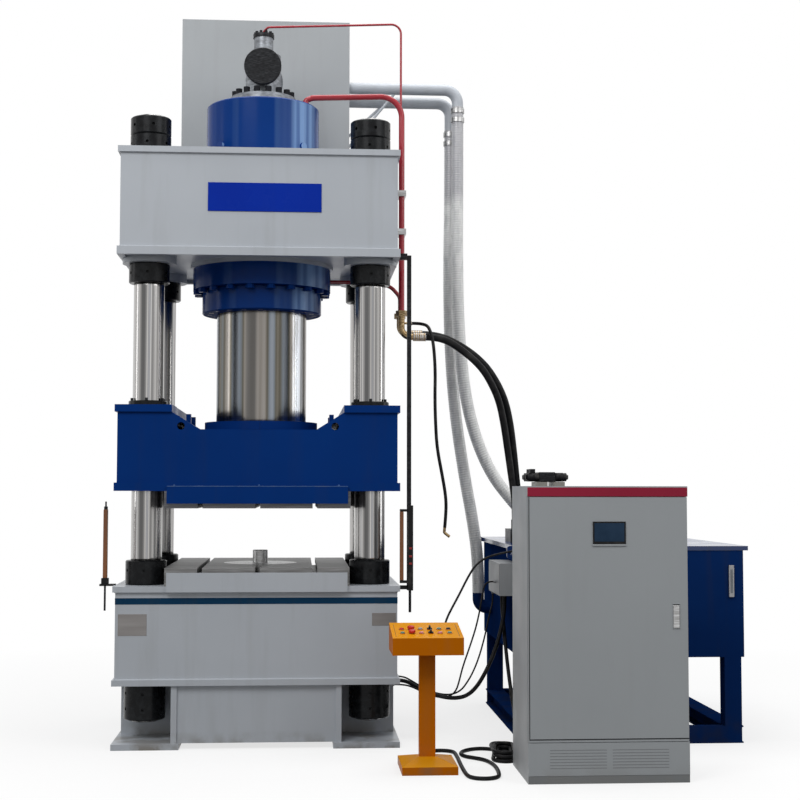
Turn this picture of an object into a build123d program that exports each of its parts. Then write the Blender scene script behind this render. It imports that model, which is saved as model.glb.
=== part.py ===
from build123d import *
import math
import os

# Hydraulic press on four columns, with its prefill tank, power unit, cabinet and pedestal.
# Millimetres, Z up, X to the right and Y away from the operator.
# Everything is laid out from the press axis, which stands on the floor at 0, 0.

# Press columns
COLUMN_X = 656.0
COLUMN_Y = 412.0
COLUMN_R = 90.0
THREAD_R = 84.0
THREAD_PLAY = 0.05
COLUMN_END = 12.0

# Plates of base, slide and crown
PLATE_X = 823.0
PLATE_Y = 640.0
WALL_INSET = 15.0
WALL = 25.0
HOLE_PLAY = 3.0

# Base
FOOT_T = 34.0
FOOT_IN_X = 440.0
BASE_MID_Z = 361.0
BASE_MID_T = 34.0
BASE_TOP_Z = 925.0
BASE_TOP_T = 33.0
RIB_IN_X = 454.0
RIB_T = 33.0
BAY_WALL_Y = 270.0
CENTRE_PANEL_SET = 14.0
BASE_WEB_Y = 180.0
BASE_GLAND_R = 17.0
SENSOR_GLAND_R = 9.0
BASE_GLAND = (-210.0, 330.0)
SENSOR_GLANDS = ((-240.0, 308.0), (-175.0, 350.0))

# Column nuts
NUT_R = 120.0
NUT_CHAMFER = 6.0
BASE_NUT_H = 141.0
LOWER_NUT_H = 214.0
CROWN_LOW_NUT_H = 116.0
CROWN_TOP_NUT_H = 106.0
TOMMY_R = 9.0
TOMMY_DEEP = 22.0
TOMMY_COUNT = 6
TOMMY_TURNS = (30.0, 42.0, 25.0)

# Crown
CROWN_Z = 2841.0
CROWN_BOTTOM_T = 47.0
CROWN_TOP_Z = 3476.0
CROWN_TOP_T = 35.0
PAD_R = 158.0
PAD_T = 28.0
CROWN_RECESS = 24.0
CROWN_LIP = 40.0
SEAT_R = 442.0
SLEEVE_R = 112.0
BADGE_LOW_X = -302.0
BADGE_HIGH_X = 360.0
BADGE_LOW_Z = 3100.0
BADGE_HIGH_Z = 3269.0
BADGE_T = 3.0

# Main cylinder and ram
BARREL_R = 350.0
BORE_R = 300.0
BARREL_TOP_Z = 3860.0
BARREL_HEAD_T = 120.0
FLANGE_R = 426.0
FLANGE_T = 133.0
GLAND_R = 369.0
GLAND_T = 146.0
FLANGE_SCREWS = 20
GLAND_SCREWS = 20
GLAND_HEAD_R = 15.0
GLAND_HEAD_H = 24.0
HEAD_PLAY = 1.0
PLUG_R = 24.0
PLUG_OUT = 14.0
PLUG_Z = 3576.0
RAM_R = 277.5
RAM_PLAY = 0.06
PISTON_T = 125.0
PISTON_Z = 2952.0
RAM_FOOT_R = 347.0
RAM_FOOT_T = 51.0
RAM_STEP_R = 320.0
RAM_STEP_T = 12.0
FOOT_SCREWS = 16
FOOT_HEAD_R = 13.0
FOOT_HEAD_H = 22.0
COVER_R = 204.0
COVER_T = 70.0
COVER_SCREWS = 16
COVER_HEAD_R = 20.0
COVER_HEAD_H = 37.0
VALVE_R = 108.0
VALVE_TOP_Z = 4205.0
NECK_R = 60.0
NECK_TOP_Z = 4319.0
CAP_R = 66.0
CAP_T = 38.0
CAP_SCREW_H = 14.0
BLANK_R = 115.0
BLANK_T = 26.0
BLANK_Z = 4088.0
BLANK_FACE_Y = -205.0
PORT_R = 80.0

# Slide
SLIDE_BOTTOM_Z = 1471.0
SLIDE_BOTTOM_T = 48.0
SLIDE_MID_Z = 1827.0
SHOULDER_Z = 1969.0
SHOULDER_T = 42.0
SHOULDER_IN_X = 496.0
SLOPE_IN_X = 336.0
DIE_PLATE_X = 535.0
DIE_PLATE_Z = 1371.0
FRONT_BAR_X = 520.0
FRONT_BAR_Z = 1399.0
FRONT_BAR_H = 100.0
FRONT_BAR_T = 18.0
BUSH_R = 113.5
BUSH_T = 31.0
BUSH_SLEEVE_R = 108.0
BUSH_SLEEVE_DEEP = 160.0
BUSH_SCREWS = 6
BUSH_HEAD_R = 9.0
BUSH_HEAD_H = 15.0
LIFT_HOLE_X = 445.0
LIFT_HOLE_Z = 1846.0
LIFT_HOLE_R = 22.0
LIFT_TUBE_WALL = 6.0
SLIDE_WEB_Y = 180.0
STOP_X = (418.0, 446.0)
STOP_Z = (1880.0, 1935.0)
STOP_W = 44.0
DIE_PLATE_BACK = 20.0

# Table
TABLE_X = 530.0
TABLE_TOP_Z = 1030.0
TABLE_BACK_Y = 620.0
TABLE_BAR_X = 518.0
TABLE_BAR_Z = 893.0
TABLE_BAR_H = 110.0
DISC_R = 225.0
DISC_DEEP = 54.0
DISC_PLAY = 0.5
SLOT_X = 330.0
SLOT_W = 28.0
SLOT_HEAD_W = 50.0
SLOT_HEAD_H = 20.0
SLOT_DEEP = 48.0
EJECTOR_R = 46.0
EJECTOR_TOP_Z = 1108.0
EJECTOR_PLAY = 2.0
EJECTOR_LOW_Z = 560.0
EJECTOR_HEAD_R = 70.0
EJECTOR_HEAD_T = 55.0
EJECTOR_CASE_R = 105.0
EJECTOR_FLANGE_R = 150.0
EJECTOR_FLANGE_T = 40.0
EJECTOR_CASE_Z = 440.0
EJECTOR_FLOOR_T = 30.0

# Upper prefill tank and its pipes
UP_TANK_X = 557.0
UP_TANK_MID_X = 3.0
UP_TANK_Y = 548.0
UP_TANK_D = 450.0
UP_TANK_TOP_Z = 4610.0
UP_TANK_WALL = 6.0
BRACKET_XS = (-380.0, 400.0)
BRACKET_T = 12.0
BRACKET_W = 120.0
BRACKET_H = 330.0
RETURN_R = 38.0
RETURN_BEND = 90.0
RETURN_X = (1295.0, 1257.0)
RETURN_Y = (620.0, 742.0)
RETURN_Z = (4183.0, 4121.0)
RETURN_END_Z = (4066.0, 3932.0)
STRUT_R = 9.0
STRUTS = ((312.0, 413.0), (228.0, 249.0))
CLAMP_T = 5.0
CLAMP_PLAY = 0.5
HOSE_R = 41.0

# Red oil lines on the right of the press
LINE_X = 865.0
THICK_R = 18.0
THICK_Y = -120.0
THIN_R = 7.0
THIN_Y = -40.0
LOW_R = 12.0
LOW_Y = 30.0
LINE_END_Z = 2556.0
LINE_TOP_Z = 3914.0
THICK_PORT_X = 266.0
LOW_PORT_Z = 2781.15
LINE_CLAMPS_Z = (3060.0, 3300.0)
LINE_CLAMP_H = 36.0
LINE_ENDS = ((THICK_R, THICK_Y, 24.0, 34.0, 128.0, 72.0, 78.0), (LOW_R, LOW_Y, 24.0, 34.0, 96.0, 62.0, 78.0),
             (THIN_R, THIN_Y, 11.0, 22.0, 34.0, 40.0, 30.0))

# Light curtains and rail
RAIL_X = 884.0
RAIL_Y = -500.0
RAIL_W = 25.0
RAIL_TOP_Z = 2871.0
RAIL_END_Z = 891.0
BAR_W = 24.0
BAR_D = 34.0
LEFT_BAR_X = 885.0
LEFT_BAR_Y = -480.0
LEFT_BAR_Z = 966.0
LEFT_BAR_TOP_Z = 1363.0
RIGHT_BAR_X = 839.0
RECEIVER_TOP_Z = 1388.0
RAIL_WALL = 2.5

# Power unit
PU_X = 1530.0
PU_RIGHT_X = 2856.0
PU_FRONT_Y = -600.0
PU_BACK_Y = 1100.0
PU_Z = 500.0
PU_TOP_Z = 1124.0
PU_WALL = 6.0
LID_T = 26.0
LID_OVER = 29.0
LEG_W = 100.0
BEAM_H = 100.0
MOTOR_R = 150.0
MOTOR_L = 480.0
MOTOR_X = 2200.0
MOTOR_Y = 560.0
MOTOR_RISE = 175.0

LEG_SET = 18.0
BEAM_FLANGE_T = 8.0
GAUGE_X = 2767.0
GAUGE_W = 29.0
GAUGE_Z = (852.0, 1037.0)
STUB_OUT = 90.0
STUB_Y = 700.0
STUB_Z = 690.0
STUB_TOP_Z = 790.0
IN_STUB_X = 1845.0
IN_STUB_Y = 560.0
IN_STUB_Z = 1190.0
IN_STUB_END = (1745.0, 560.0, 1300.0)
MOTOR_FINS = 24
MANIFOLD_X = 1700.0
MANIFOLD_Y = 200.0
MANIFOLD_TOP_Z = 1484.0
PORTS = ((1606.0, 118.0), (1638.0, 178.0))
PORT_TOP_Z = 1290.0
TBOX_X = 1412.0
TBOX_Y = -575.0
TBOX_Z = 860.0
TBOX_L = 485.0
TBOX_H = 188.0
TBOX_GLANDS = ((1428.0, -140.0, 5.0), (1470.0, -360.0, 12.0), (1470.0, -240.0, 11.0))
TBOX_SIDE_GLAND = (-430.0, 935.0)

# Cabinet
CAB_X = 1397.0
CAB_Y = -1730.0
CAB_W = 827.0
CAB_D = 540.0
CAB_H = 1500.0
CAB_WALL = 2.5
CAB_FLANGE = 14.0
DOOR_Z = 225.0
DOOR_TOP_Z = 1447.0
DOOR_T = 20.0
DOOR_GAP = 3.0
PLINTH_H = 40.0
LOUVRE_COUNT = 7
LOUVRE_Z = 75.0
LOUVRE_STEP = 15.0
SCREEN_X = 1733.0
SCREEN_W = 168.0
SCREEN_Z = (1205.0, 1319.0)
HANDLE_X = 2146.0
HANDLE_W = 31.0
HANDLE_Z = 779.0
HANDLE_H = 117.0
CAB_GLAND_X = 1600.0
CAB_GLAND_Z = 1150.0
CAB_GLAND_R = 12.0
LOUVRES_X = ((110.0, 400.0), (430.0, 720.0))
HINGE_X = 9.0
HINGE_Y = 6.5
PIN_R = 2.5
PIN_PLAY = 0.08
GEAR_PLATE_Z = (290.0, 1400.0)
GEAR_FEET_Z = (320.0, 1370.0)
GEAR_DUCTS_Z = (330.0, 560.0, 800.0, 1040.0, 1270.0)
GEAR_DUCT = (60.0, 40.0)
GEAR_RAIL = (8.0, 35.0)
GEAR_ROWS = ((460.0, 14, 22.0, 90.0, 60.0), (690.0, 5, 90.0, 110.0, 95.0),
             (930.0, 4, 100.0, 130.0, 110.0), (1170.0, 8, 44.0, 90.0, 70.0))

# Pedestal
FOOT_X = 778.0
FOOT_Y = -1466.0
FOOT_W = 293.0
FOOT_D = 356.0
FOOT_EDGE_H = 42.0
FOOT_RISE = 30.0
POST_W = 85.0
POST_D = 60.0
POST_X = 922.0
POST_Y = -1288.0
POST_WALL = 3.0
DESK_W = 374.0
DESK_X = 729.0
DESK_Y = -1450.0
DESK_D = 320.0
DESK_FRONT_Z = 706.0
DESK_BACK_Z = 758.0
DESK_LOW_Z = 616.0
DESK_WALL = 2.0
CONTROL_R = 11.0
CONTROL_PLAY = 0.3
CONTROL_X = 787.0
CONTROL_STEP = 50.0
CONTROL_ROWS = (176.0, 96.0)
CORD_GLAND_X = 1035.0
CORD_GLAND_Z = 700.0
CONTROLS = (
    (("red_button", "push"), ("stop_button", "mushroom"), ("grey_button", "push"),
     ("mode_selector", "selector"), ("green_button", "push"), ("black_button", "push")),
    (("ready_button", "push"), ("press_button", "mushroom"), ("pink_button", "push"),
     ("speed_selector", "selector"), ("raise_button", "push"), ("start_button", "push")),
)

# Free hoses and cables: diameter and route of each
BLACK_R = 22.0
FLOOR_Z = 11.4
ROUTES = {
    "white_hose_right": (2 * HOSE_R, (
        (1295, 620, 4066), (1295, 620, 3600), (1291, 620, 3110), (1298, 617, 2600), (1335, 610, 2150),
        (1405, 600, 1840), (1510, 585, 1590), (1636, 560, 1420), (1745, 560, 1300))),
    "white_hose_left": (2 * HOSE_R, (
        (1257, 742, 3932), (1257, 742, 3480), (1248, 742, 3010), (1252, 740, 2520), (1282, 735, 2040),
        (1345, 725, 1600), (1412, 708, 1230), (1440, 700, 985), (1440, 700, 790))),
    "black_hose_front": (2 * BLACK_R, (
        (1015, -120, 2424), (1120, -120, 2424), (1262, -110, 2333), (1370, -80, 2241), (1438, -40, 2141),
        (1492, 10, 2034), (1527, 55, 1893), (1557, 85, 1712), (1586, 108, 1530), (1606, 118, 1400),
        (1606, 118, 1290))),
    "black_hose_back": (2 * BLACK_R, (
        (1005, 30, 2456), (1112, 30, 2456), (1278, 22, 2372), (1400, 20, 2272), (1478, 40, 2164),
        (1538, 75, 2047), (1576, 115, 1903), (1602, 145, 1722), (1622, 165, 1540), (1638, 178, 1405),
        (1638, 178, 1290))),
    "thin_hose": (20.0, (
        (935, -40, 2518), (965, -40, 2518), (992, -52, 2514), (1012, -74, 2507), (1026, -106, 2496),
        (1036, -142, 2474), (1045, -176, 2438), (1054, -202, 2384), (1061, -216, 2306),
        (1066, -222, 2190), (1063, -224, 2040), (1067, -226, 1880), (1076, -228, 1730),
        (1108, -230, 1565), (1132, -232, 1420), (1128, -232, 1310), (1122, -232, 1250))),
    "pedestal_cable": (12.0, (
        (1035, -1114, 700), (1035, -1066, 700), (1041, -1022, 722), (1056, -1008, 768), (1080, -1020, 820),
        (1126, -1018, 903), (1174, -1000, 993), (1218, -965, 1055), (1272, -930, 1094), (1340, -896, 1114),
        (1420, -872, 1130), (1500, -885, 1142), (1562, -930, 1148), (1592, -1000, 1150), (1600, -1085, 1150),
        (1600, -1170, 1150))),
    "sensor_cable_a": (10.0, (
        (1393, -430, 935), (1359, -430, 935), (1336, -432, 906), (1326, -438, 858), (1311, -450, 775),
        (1284, -465, 665), (1243, -478, 548), (1203, -484, 440), (1184, -478, 360), (1168, -460, 300),
        (1140, -432, 256), (1096, -398, 236), (1040, -356, 238), (980, -312, 258), (920, -268, 288),
        (868, -240, 308), (816, -240, 308))),
    "sensor_cable_b": (10.0, (
        (1428, -140, 844), (1428, -140, 795), (1408, -165, 735), (1384, -212, 660), (1356, -262, 570),
        (1316, -330, 470), (1272, -390, 390), (1236, -412, 338), (1206, -412, 298), (1164, -392, 274),
        (1112, -362, 268), (1050, -318, 276), (990, -268, 298), (926, -212, 332), (872, -175, 350),
        (816, -175, 350))),
    "base_cable": (24.0, (
        (824, -210, 330), (876, -210, 330), (934, -240, 304), (1000, -300, 272), (1080, -360, 251),
        (1160, -410, 246), (1228, -440, 262), (1284, -452, 310), (1336, -444, 388), (1382, -427, 478),
        (1424, -404, 580), (1455, -378, 690), (1470, -360, 772), (1470, -360, 844))),
    "floor_cable": (22.0, (
        (942, -1094, 24), (942, -1034, 24), (944, -960, 17), (950, -895, FLOOR_Z), (963, -851, FLOOR_Z),
        (991, -814, FLOOR_Z), (1036, -800, FLOOR_Z), (1081, -814, FLOOR_Z), (1109, -851, FLOOR_Z),
        (1113, -892, FLOOR_Z), (1114, -970, FLOOR_Z), (1112, -1080, FLOOR_Z), (1108, -1230, FLOOR_Z),
        (1106, -1400, FLOOR_Z), (1108, -1510, FLOOR_Z), (1117, -1572, FLOOR_Z), (1146, -1611, FLOOR_Z),
        (1192, -1625, FLOOR_Z), (1238, -1611, FLOOR_Z), (1267, -1572, FLOOR_Z), (1276, -1524, FLOOR_Z),
        (1284, -1440, FLOOR_Z), (1288, -1330, FLOOR_Z), (1282, -1220, FLOOR_Z), (1258, -1110, FLOOR_Z),
        (1208, -1046, FLOOR_Z), (1160, -1000, FLOOR_Z), (1140, -930, FLOOR_Z), (1156, -850, FLOOR_Z),
        (1196, -792, FLOOR_Z), (1248, -757, FLOOR_Z),
        (1300, -756.75, FLOOR_Z), (1335, -783, FLOOR_Z))),
}
HANK_X = 1378.0
HANK_Y = -985.0
HANK_TURN = 84.0
HANK_L = 250.0
HANK_W = 128.0
HANK_GAP = 30.0
HANK_H = 62.0
HANK_ROUND = 14.0
HANK_CORD = 22.0
HANK_IN = ((1395, -828, FLOOR_Z), (1335, -783, FLOOR_Z))
HANK_LEAD = (
    (1383.5, -826.4, FLOOR_Z), (1440.5, -785.7, FLOOR_Z), (1474, -761.8, FLOOR_Z), (1494, -738, 22),
    (1502, -706, 52), (1500, -668, 104), (1492, -620, 180), (1482, -566, 276), (1474, -496, 392),
    (1470, -416, 520), (1468, -336, 650), (1469, -268, 740), (1470, -240, 796), (1470, -240, 844))

nodes = {}
cords = list(ROUTES) + ["cable_hank"]


def box(x0, x1, y0, y1, z0, z1):
    """Block between two corners."""
    size = (x1 - x0, y1 - y0, z1 - z0)
    return Pos((x0 + x1) / 2, (y0 + y1) / 2, (z0 + z1) / 2) * Box(*size)


def rod(radius, z0, z1, x=0.0, y=0.0):
    """Upright cylinder between two heights."""
    return Pos(x, y, (z0 + z1) / 2) * Cylinder(radius, z1 - z0)


def tube(outer, inner, z0, z1, x=0.0, y=0.0):
    """Upright ring between two heights."""
    return rod(outer, z0, z1, x, y) - rod(inner, z0 - 1, z1 + 1, x, y)


def lying_x(radius, x0, x1, y, z):
    """Cylinder along X."""
    return Pos((x0 + x1) / 2, y, z) * Rot(0, 90, 0) * Cylinder(radius, x1 - x0)


def lying_y(radius, y0, y1, x, z):
    """Cylinder along Y."""
    return Pos(x, (y0 + y1) / 2, z) * Rot(90, 0, 0) * Cylinder(radius, y1 - y0)


def corners(dx, dy):
    """The four places at plus and minus dx, dy."""
    return [(sx * dx, sy * dy) for sx in (-1, 1) for sy in (-1, 1)]


def ring_of(count, radius, start=0.0):
    """Places evenly spaced on a circle."""
    step = 2 * math.pi / count
    angles = [math.radians(start) + step * i for i in range(count)]
    return [(radius * math.cos(a), radius * math.sin(a)) for a in angles]


def hex_head(across, z0, z1, x, y):
    """Hexagon bolt head."""
    prism = extrude(RegularPolygon(across / math.sqrt(3), 6), z1 - z0)
    return Pos(x, y, z0) * prism


def socket_head(radius, z0, z1, x, y):
    """Round screw head with a hexagon socket."""
    key = Pos(x, y, z1 - 0.6 * (z1 - z0)) * extrude(RegularPolygon(radius * 0.5, 6), z1 - z0)
    return rod(radius, z0, z1, x, y) - key


def elbow_pipe(points, radius, bend, inner=0.0):
    """Round pipe with arcs of one bend radius at its corners."""
    path = FilletPolyline(*points, radius=bend)
    start = Plane(origin=path @ 0, z_dir=path % 0)
    section = Circle(radius)
    if inner > 0:
        section = section - Circle(inner)
    return sweep(start * section, path=path)


def keep(name, *shapes):
    """Store one named piece or group of pieces."""
    solids = []
    for shape in shapes:
        solids += list(shape.solids())
    nodes[name] = solids


def column_nut(z0, z1, x, y, rows, turn=0):
    """Round column nut with tommy bar holes in rows round its side, from one of the starting angles."""
    wide = NUT_R - THREAD_R - THREAD_PLAY
    profile = Pos(NUT_R, z0) * Rectangle(wide, z1 - z0, align=(Align.MAX, Align.MIN))
    profile = chamfer(profile.vertices().group_by(Axis.X)[-1], NUT_CHAMFER)
    nut = revolve(Plane.XZ * profile, Axis.Z)
    for z in rows:
        for i in range(TOMMY_COUNT):
            angle = TOMMY_TURNS[turn] + 360 / TOMMY_COUNT * i
            drill = Pos(0, 0, z) * Rot(0, 0, angle) * Pos(NUT_R, 0, 0) * Rot(0, 90, 0)
            nut -= drill * Cylinder(TOMMY_R, 2 * TOMMY_DEEP)
    return Pos(x, y, 0) * nut


def make_columns():
    """Columns and all their nuts."""
    low_end = BASE_MID_Z - LOWER_NUT_H - COLUMN_END
    high_end = CROWN_TOP_Z + 2 * CROWN_TOP_NUT_H + COLUMN_END
    body_low = BASE_TOP_Z + BASE_NUT_H
    body_high = CROWN_Z - PAD_T - CROWN_LOW_NUT_H
    columns = []
    top_nuts = []
    crown_nuts = []
    base_nuts = []
    low_nuts = []
    for x, y in corners(COLUMN_X, COLUMN_Y):
        shaft = rod(THREAD_R, low_end, high_end, x, y)
        shaft = chamfer(shaft.edges().filter_by(GeomType.CIRCLE), 5)
        columns.append(shaft + rod(COLUMN_R, body_low, body_high, x, y))
        for i in range(2):
            z0 = CROWN_TOP_Z + i * CROWN_TOP_NUT_H
            row = z0 + CROWN_TOP_NUT_H / 2
            top_nuts.append(column_nut(z0, z0 + CROWN_TOP_NUT_H, x, y, [row], 2 - i))
        crown_nuts.append(column_nut(body_high, CROWN_Z - PAD_T, x, y, [body_high + CROWN_LOW_NUT_H / 2]))
        base_nuts.append(column_nut(BASE_TOP_Z, body_low, x, y, [BASE_TOP_Z + BASE_NUT_H * 0.6]))
        z0 = BASE_MID_Z - LOWER_NUT_H
        low_nuts.append(column_nut(z0, BASE_MID_Z, x, y, [z0 + LOWER_NUT_H * 0.3, z0 + LOWER_NUT_H * 0.72]))
    keep("columns", *columns)
    keep("column_nuts", *top_nuts, *crown_nuts, *base_nuts, *low_nuts)


def make_base():
    """Base weldment: plates, walls, ribs, feet and column tubes."""
    wall_x = PLATE_X - WALL_INSET
    wall_y = PLATE_Y - WALL_INSET
    mid_top = BASE_MID_Z + BASE_MID_T
    top_low = BASE_TOP_Z - BASE_TOP_T
    rib_out = RIB_IN_X + RIB_T
    base = box(-PLATE_X, PLATE_X, -PLATE_Y, PLATE_Y, top_low, BASE_TOP_Z)
    base += box(-PLATE_X, PLATE_X, -PLATE_Y, PLATE_Y, BASE_MID_Z, mid_top)
    shell = box(-wall_x, wall_x, -wall_y, wall_y, mid_top, top_low)
    shell -= box(-wall_x + WALL, wall_x - WALL, -wall_y + WALL, wall_y - WALL, mid_top, top_low)
    base += shell
    panel_y = wall_y - CENTRE_PANEL_SET
    for s in (-1, 1):
        inner, outer = sorted((s * RIB_IN_X, s * rib_out))
        base += box(inner, outer, -wall_y, wall_y, FOOT_T, BASE_MID_Z)
        base += box(inner, outer, -wall_y + WALL, wall_y - WALL, mid_top, top_low)
        low, high = sorted((s * FOOT_IN_X, s * PLATE_X))
        base += box(low, high, -PLATE_Y, PLATE_Y, 0, FOOT_T)
        low, high = sorted((s * rib_out, s * wall_x))
        bay = box(low, high, -BAY_WALL_Y, BAY_WALL_Y, FOOT_T, BASE_MID_Z)
        low, high = sorted((s * rib_out, s * (wall_x - WALL)))
        base += bay - box(low, high, -BAY_WALL_Y + WALL, BAY_WALL_Y - WALL, FOOT_T, BASE_MID_Z)
        low, high = sorted((s * (panel_y - WALL), s * panel_y))
        base += box(-RIB_IN_X, RIB_IN_X, low, high, FOOT_T, BASE_MID_Z)
        low, high = sorted((s * BASE_WEB_Y, s * (BASE_WEB_Y + WALL)))
        base += box(-wall_x + WALL, wall_x - WALL, low, high, mid_top, top_low)
    for x, y in corners(COLUMN_X, COLUMN_Y):
        base += rod(SLEEVE_R, mid_top, top_low, x, y)
    for x, y in corners(COLUMN_X, COLUMN_Y):
        base -= rod(THREAD_R + HOLE_PLAY, BASE_MID_Z - 1, BASE_TOP_Z + 1, x, y)
    base -= rod(EJECTOR_R + 24, top_low - 1, BASE_TOP_Z + 1)
    base += lying_x(BASE_GLAND_R, wall_x, wall_x + 16, *BASE_GLAND)
    for y, z in SENSOR_GLANDS:
        base += lying_x(SENSOR_GLAND_R, wall_x, wall_x + 8, y, z)
    bar_top = TABLE_BAR_Z + TABLE_BAR_H
    base += box(-TABLE_BAR_X, TABLE_BAR_X, -PLATE_Y - FRONT_BAR_T, -PLATE_Y, TABLE_BAR_Z, bar_top)
    keep("base_frame", base)


def make_crown():
    """Crown weldment with its cylinder bore, column tubes and pad rings."""
    wall_x = PLATE_X - WALL_INSET
    wall_y = PLATE_Y - WALL_INSET
    low = CROWN_Z + CROWN_BOTTOM_T
    high = CROWN_TOP_Z - CROWN_TOP_T
    bore = BARREL_R + HOLE_PLAY
    crown = box(-PLATE_X, PLATE_X, -PLATE_Y, PLATE_Y, CROWN_Z, low)
    crown += box(-PLATE_X, PLATE_X, -PLATE_Y, PLATE_Y, high, CROWN_TOP_Z)
    shell = box(-wall_x, wall_x, -wall_y, wall_y, low, high)
    crown += shell - box(-wall_x + WALL, wall_x - WALL, -wall_y + WALL, wall_y - WALL, low, high)
    crown += rod(bore + 35, low, high)
    for s in (-1, 1):
        inner, outer = sorted((s * (bore + 20), s * (bore + 20 + WALL)))
        crown += box(inner, outer, -wall_y + WALL, wall_y - WALL, low, high)
    lip_x = PLATE_X - CROWN_LIP
    lip_y = PLATE_Y - CROWN_LIP
    crown -= box(-lip_x, lip_x, -lip_y, lip_y, CROWN_Z - 1, CROWN_Z + CROWN_RECESS)
    crown += rod(SEAT_R, CROWN_Z, low)
    for x, y in corners(COLUMN_X, COLUMN_Y):
        crown += rod(SLEEVE_R, low, high, x, y)
        crown += rod(PAD_R, CROWN_Z - PAD_T, low, x, y)
    for x, y in corners(COLUMN_X, COLUMN_Y):
        crown -= rod(THREAD_R + HOLE_PLAY, CROWN_Z - PAD_T - 1, CROWN_TOP_Z + 1, x, y)
    crown -= rod(bore, CROWN_Z - 1, CROWN_TOP_Z + 1)
    back = UP_TANK_Y + UP_TANK_D
    for x in BRACKET_XS:
        shelf = CROWN_TOP_Z - BRACKET_T
        web = Polyline((wall_y, shelf), (back - 30, shelf), (back - 30, CROWN_TOP_Z - 60),
                       (wall_y, CROWN_TOP_Z - BRACKET_H), close=True)
        crown += extrude(Plane.YZ.offset(x - BRACKET_T / 2) * make_face(web), BRACKET_T)
        half = BRACKET_W / 2
        crown += box(x - half, x + half, PLATE_Y - 1, back, shelf, CROWN_TOP_Z)
    badge = box(BADGE_LOW_X, BADGE_HIGH_X, -wall_y - BADGE_T, -wall_y, BADGE_LOW_Z, BADGE_HIGH_Z)
    keep("crown_beam", crown + badge)


def make_cylinder():
    """Main cylinder with its flange, gland and top cover."""
    flange_low = CROWN_Z - FLANGE_T
    head_low = BARREL_TOP_Z - BARREL_HEAD_T
    barrel = rod(BARREL_R, flange_low, BARREL_TOP_Z) + rod(FLANGE_R, flange_low, CROWN_Z)
    barrel = chamfer(barrel.edges().filter_by(GeomType.CIRCLE).group_by(Axis.Z)[-1], 8)
    for i in range(4):
        spot = Pos(0, 0, PLUG_Z) * Rot(0, 0, 45 + 90 * i) * Pos(BARREL_R, 0, 0) * Rot(0, 90, 0)
        barrel += spot * Cylinder(PLUG_R, 2 * PLUG_OUT)
    barrel -= rod(BORE_R, flange_low - 1, head_low)
    barrel -= rod(PORT_R, head_low - 1, BARREL_TOP_Z + 1)
    barrel -= lying_x(LOW_R * 0.7, BORE_R - 10, FLANGE_R + 1, LOW_Y, LOW_PORT_Z)
    keep("cylinder_barrel", barrel)
    spots = ring_of(FLANGE_SCREWS, FLANGE_R - 27, 9)
    screws = [hex_head(46, flange_low - 26, flange_low, x, y) for x, y in spots]
    gland_low = flange_low - GLAND_T
    gland = rod(GLAND_R, gland_low, flange_low)
    gland = chamfer(gland.edges().filter_by(GeomType.CIRCLE), 6)
    gland -= rod(RAM_R + RAM_PLAY, gland_low - 1, flange_low + 1)
    seat = gland_low + GLAND_HEAD_H
    for x, y in ring_of(GLAND_SCREWS, (GLAND_R + RAM_R) / 2):
        gland -= rod(GLAND_HEAD_R + HEAD_PLAY, gland_low - 1, seat, x, y)
        screws.append(Pos(0, 0, seat) * Rot(180, 0, 0) * socket_head(GLAND_HEAD_R, 0, GLAND_HEAD_H, x, y))
    keep("gland_ring", gland)
    for x, y in ring_of(16, BARREL_R + 38, 11.25):
        screws.append(hex_head(55, CROWN_TOP_Z, CROWN_TOP_Z + 34, x, y))
    return screws


def make_valve():
    """Cover, prefill valve, its blank flange and the pipe to the upper tank."""
    cover_top = BARREL_TOP_Z + COVER_T
    cover = rod(COVER_R, BARREL_TOP_Z, cover_top) - rod(PORT_R, BARREL_TOP_Z - 1, cover_top + 1)
    spots = ring_of(COVER_SCREWS, COVER_R - 26, 11.25)
    screws = [socket_head(COVER_HEAD_R, cover_top, cover_top + COVER_HEAD_H, x, y) for x, y in spots]
    body = cover + rod(VALVE_R, cover_top, VALVE_TOP_Z) + rod(NECK_R, VALVE_TOP_Z, NECK_TOP_Z)
    front = BLANK_FACE_Y + BLANK_T
    body += lying_y(BLANK_R - 22, front, 0, 0, BLANK_Z)
    body += lying_y(BLANK_R - 6, front, front + 24, 0, BLANK_Z)
    back = VALVE_R + 70
    body += lying_y(PORT_R + 8, 0, back, 0, BLANK_Z) + lying_y(PORT_R + 40, back - 22, back, 0, BLANK_Z)
    body -= rod(PORT_R, cover_top - 1, VALVE_TOP_Z - 30)
    body -= lying_y(PORT_R - 6, front - 1, back + 1, 0, BLANK_Z)
    keep("prefill_valve", body)
    blank = lying_y(BLANK_R, BLANK_FACE_Y, front, 0, BLANK_Z)
    cap_top = NECK_TOP_Z + CAP_T - CAP_SCREW_H
    cap = rod(CAP_R, NECK_TOP_Z, cap_top)
    keep("valve_blanks", chamfer(blank.edges().filter_by(GeomType.CIRCLE), 3), cap)
    spots = ring_of(10, CAP_R - 13)
    screws += [socket_head(9, cap_top, cap_top + CAP_SCREW_H, x, y) for x, y in spots]
    pipe = lying_y(PORT_R + 8, back, UP_TANK_Y, 0, BLANK_Z)
    pipe += lying_y(PORT_R + 40, back, back + 22, 0, BLANK_Z)
    pipe += lying_y(PORT_R + 40, UP_TANK_Y - 18, UP_TANK_Y, 0, BLANK_Z)
    pipe -= lying_y(PORT_R, back - 1, UP_TANK_Y + 1, 0, BLANK_Z)
    return screws, pipe


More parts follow.
